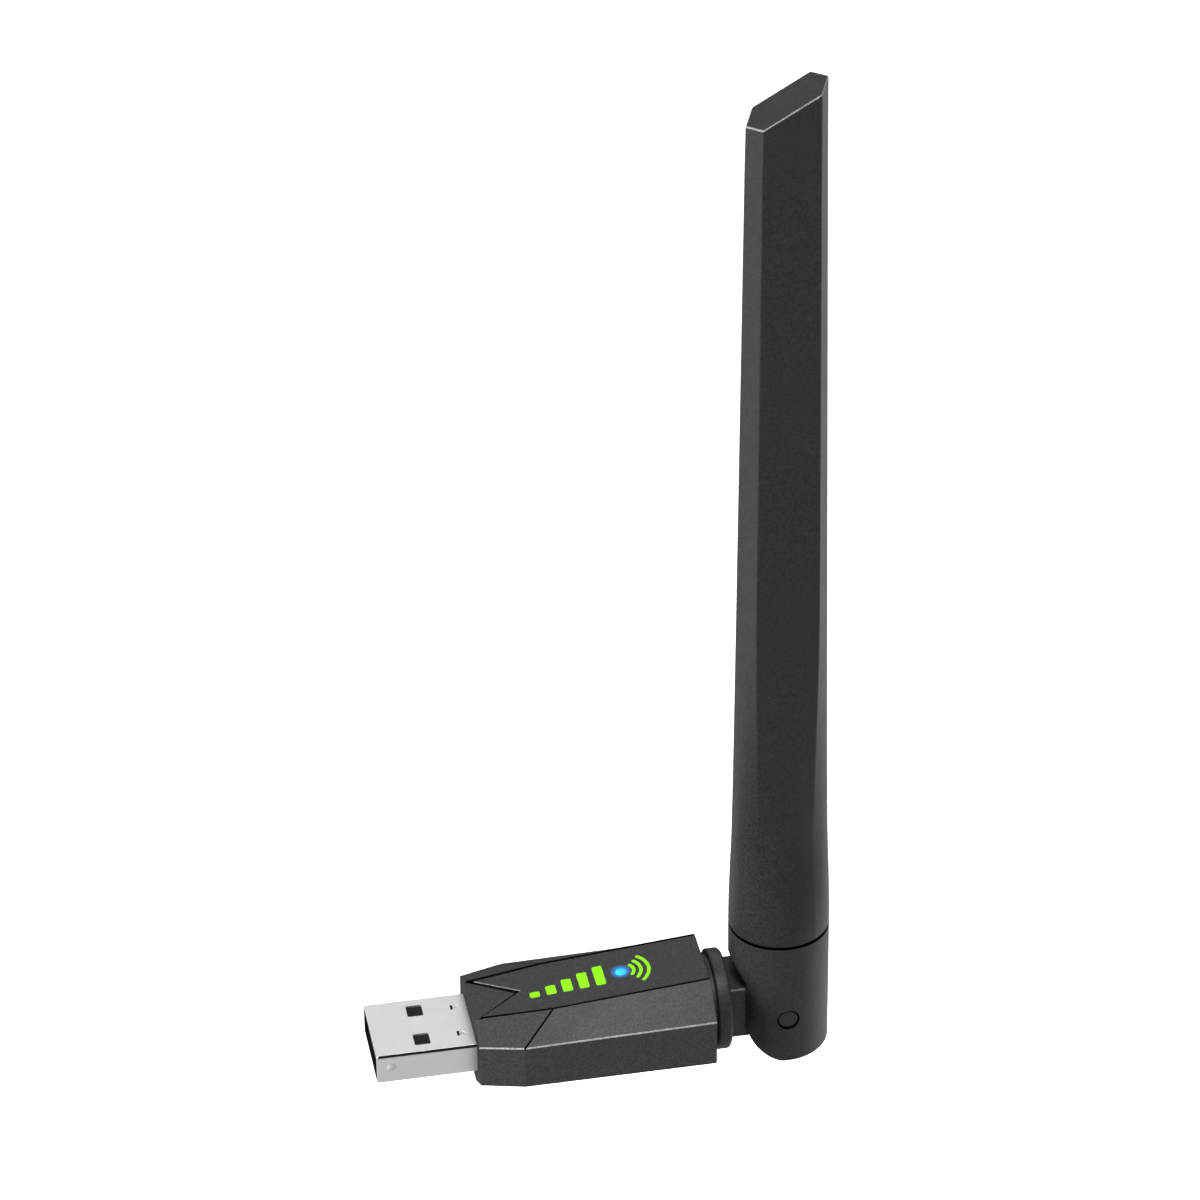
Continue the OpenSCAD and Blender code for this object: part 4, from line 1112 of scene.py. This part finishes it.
class ADAPTER_OT_stage(Operator):
    """Make the camera, the pale floor and the soft lights"""
    bl_idname = "adapter.stage"
    bl_label = "Stage"

    def execute(self, context):
        stage = context.scene.adapter.stage
        camera_data = bpy.data.cameras.new("camera")
        camera_data.lens, camera_data.sensor_width = stage.lens, 36.0
        camera_data.clip_start, camera_data.clip_end = 0.01, 10.0
        camera = bpy.data.objects.new("camera", camera_data)
        context.scene.collection.objects.link(camera)
        azimuth, elevation, roll = (math.radians(v) for v in (-10.272, 32.338, -0.749))
        back = Vector((math.sin(azimuth) * math.cos(elevation), -math.cos(azimuth) * math.cos(elevation),
                       math.sin(elevation)))
        flat = Vector((math.cos(azimuth), math.sin(azimuth), 0))
        over = back.cross(flat)
        right = flat * math.cos(roll) + over * math.sin(roll)
        up = over * math.cos(roll) - flat * math.sin(roll)
        place = Vector((0.031962, 0, 0.06615)) + back * 0.626408
        camera.matrix_world = Matrix((
            (right.x, up.x, back.x, place.x), (right.y, up.y, back.y, place.y),
            (right.z, up.z, back.z, place.z), (0, 0, 0, 1)))
        context.scene.camera = camera

        bm = bmesh.new()
        bmesh.ops.create_grid(bm, x_segments=8, y_segments=8, size=3.0)
        bm.transform(Matrix.Translation((0.03, 0.0, -stage.floor_drop)))
        mesh = bpy.data.meshes.new("floor")
        bm.to_mesh(mesh)
        bm.free()
        floor = bpy.data.objects.new("floor", mesh)
        context.scene.collection.objects.link(floor)
        material, tree, shader = new_material("floor_paper")
        paper = grain(tree, 60.0, 3.0, 0.5)
        tree.links.new(tinted(tree, paper.outputs["Fac"], tuple(stage.floor), 0.995, 1.005),
                shader.inputs["Base Color"])
        shader.inputs["Roughness"].default_value = 0.9
        shader.inputs["Specular IOR Level"].default_value = 0.1
        shader.inputs["Emission Color"].default_value = (1, 1, 1, 1)
        shader.inputs["Emission Strength"].default_value = stage.floor_glow
        mesh.materials.append(material)
        floor.visible_diffuse = False
        floor.visible_glossy = False
        floor.visible_shadow = False

        world = bpy.data.worlds.new("studio")
        context.scene.world = world
        world.use_nodes = True
        studio_walls(world.node_tree, 0.05, (((-0.735, 0.416, -0.535), 1.0), ((0.8, -0.28, -0.53), 0.8),
                                             ((0.78, 0.35, -0.5), 1.2), ((0.058, 0.83, 0.553), 0.15),
                                             ((0.15, -0.83, -0.535), 0.3)))
        aim = (0.045, 0, 0.05)
        soft_light("left_front", (-0.55, -0.32, 0.16), aim, (0.3, 0.4), 2.6, False)
        soft_light("left_side", (-0.62, -0.20, 0.16), aim, (0.3, 0.4), 12.5, False)
        soft_light("slope_top", (0.08, -0.27, 0.75), aim, (0.3, 0.25), 4.5)
        soft_light("back_top", (0.05, 0.75, 0.55), aim, (0.8, 0.4), 0.95)
        context.scene.view_settings.view_transform = "Standard"
        return {"FINISHED"}


class ADAPTER_PT_maker(Panel):
    """Buttons and sizes for the adapter's pieces"""
    bl_label = "Wireless Adapter"
    bl_idname = "ADAPTER_PT_maker"
    bl_space_type = "VIEW_3D"
    bl_region_type = "UI"
    bl_category = "Adapter"

    def draw(self, context):
        layout = self.layout
        for step in STEPS:
            layout.operator(step.bl_idname)
        settings = context.scene.adapter
        for group in (settings.plug, settings.case, settings.joint, settings.blade, settings.marks, settings.stage):
            box = layout.box()
            for name in group.__annotations__:
                box.prop(group, name)


STEPS = (ADAPTER_OT_stage, ADAPTER_OT_plug, ADAPTER_OT_upper_shell, ADAPTER_OT_lower_shell, ADAPTER_OT_top_panel,
         ADAPTER_OT_lamp, ADAPTER_OT_marks, ADAPTER_OT_knuckle, ADAPTER_OT_fork, ADAPTER_OT_blade,
         ADAPTER_OT_cable_bend, ADAPTER_OT_inner_parts)
GROUPS = (PlugSizes, CaseSizes, JointSizes, BladeSizes, MarkSizes, StageSettings, AdapterSettings)


def register():
    """Registers the settings, operators and panel."""
    for group in GROUPS + STEPS + (ADAPTER_PT_maker,):
        bpy.utils.register_class(group)
    bpy.types.Scene.adapter = PointerProperty(type=AdapterSettings)


def unregister():
    """Removes the settings, operators and panel."""
    del bpy.types.Scene.adapter
    for group in reversed(GROUPS + STEPS + (ADAPTER_PT_maker,)):
        bpy.utils.unregister_class(group)


def main():
    """Makes every piece in order."""
    register()
    for step in STEPS:
        group, name = step.bl_idname.split(".")
        getattr(getattr(bpy.ops, group), name)()


if __name__ == "__main__":
    main()
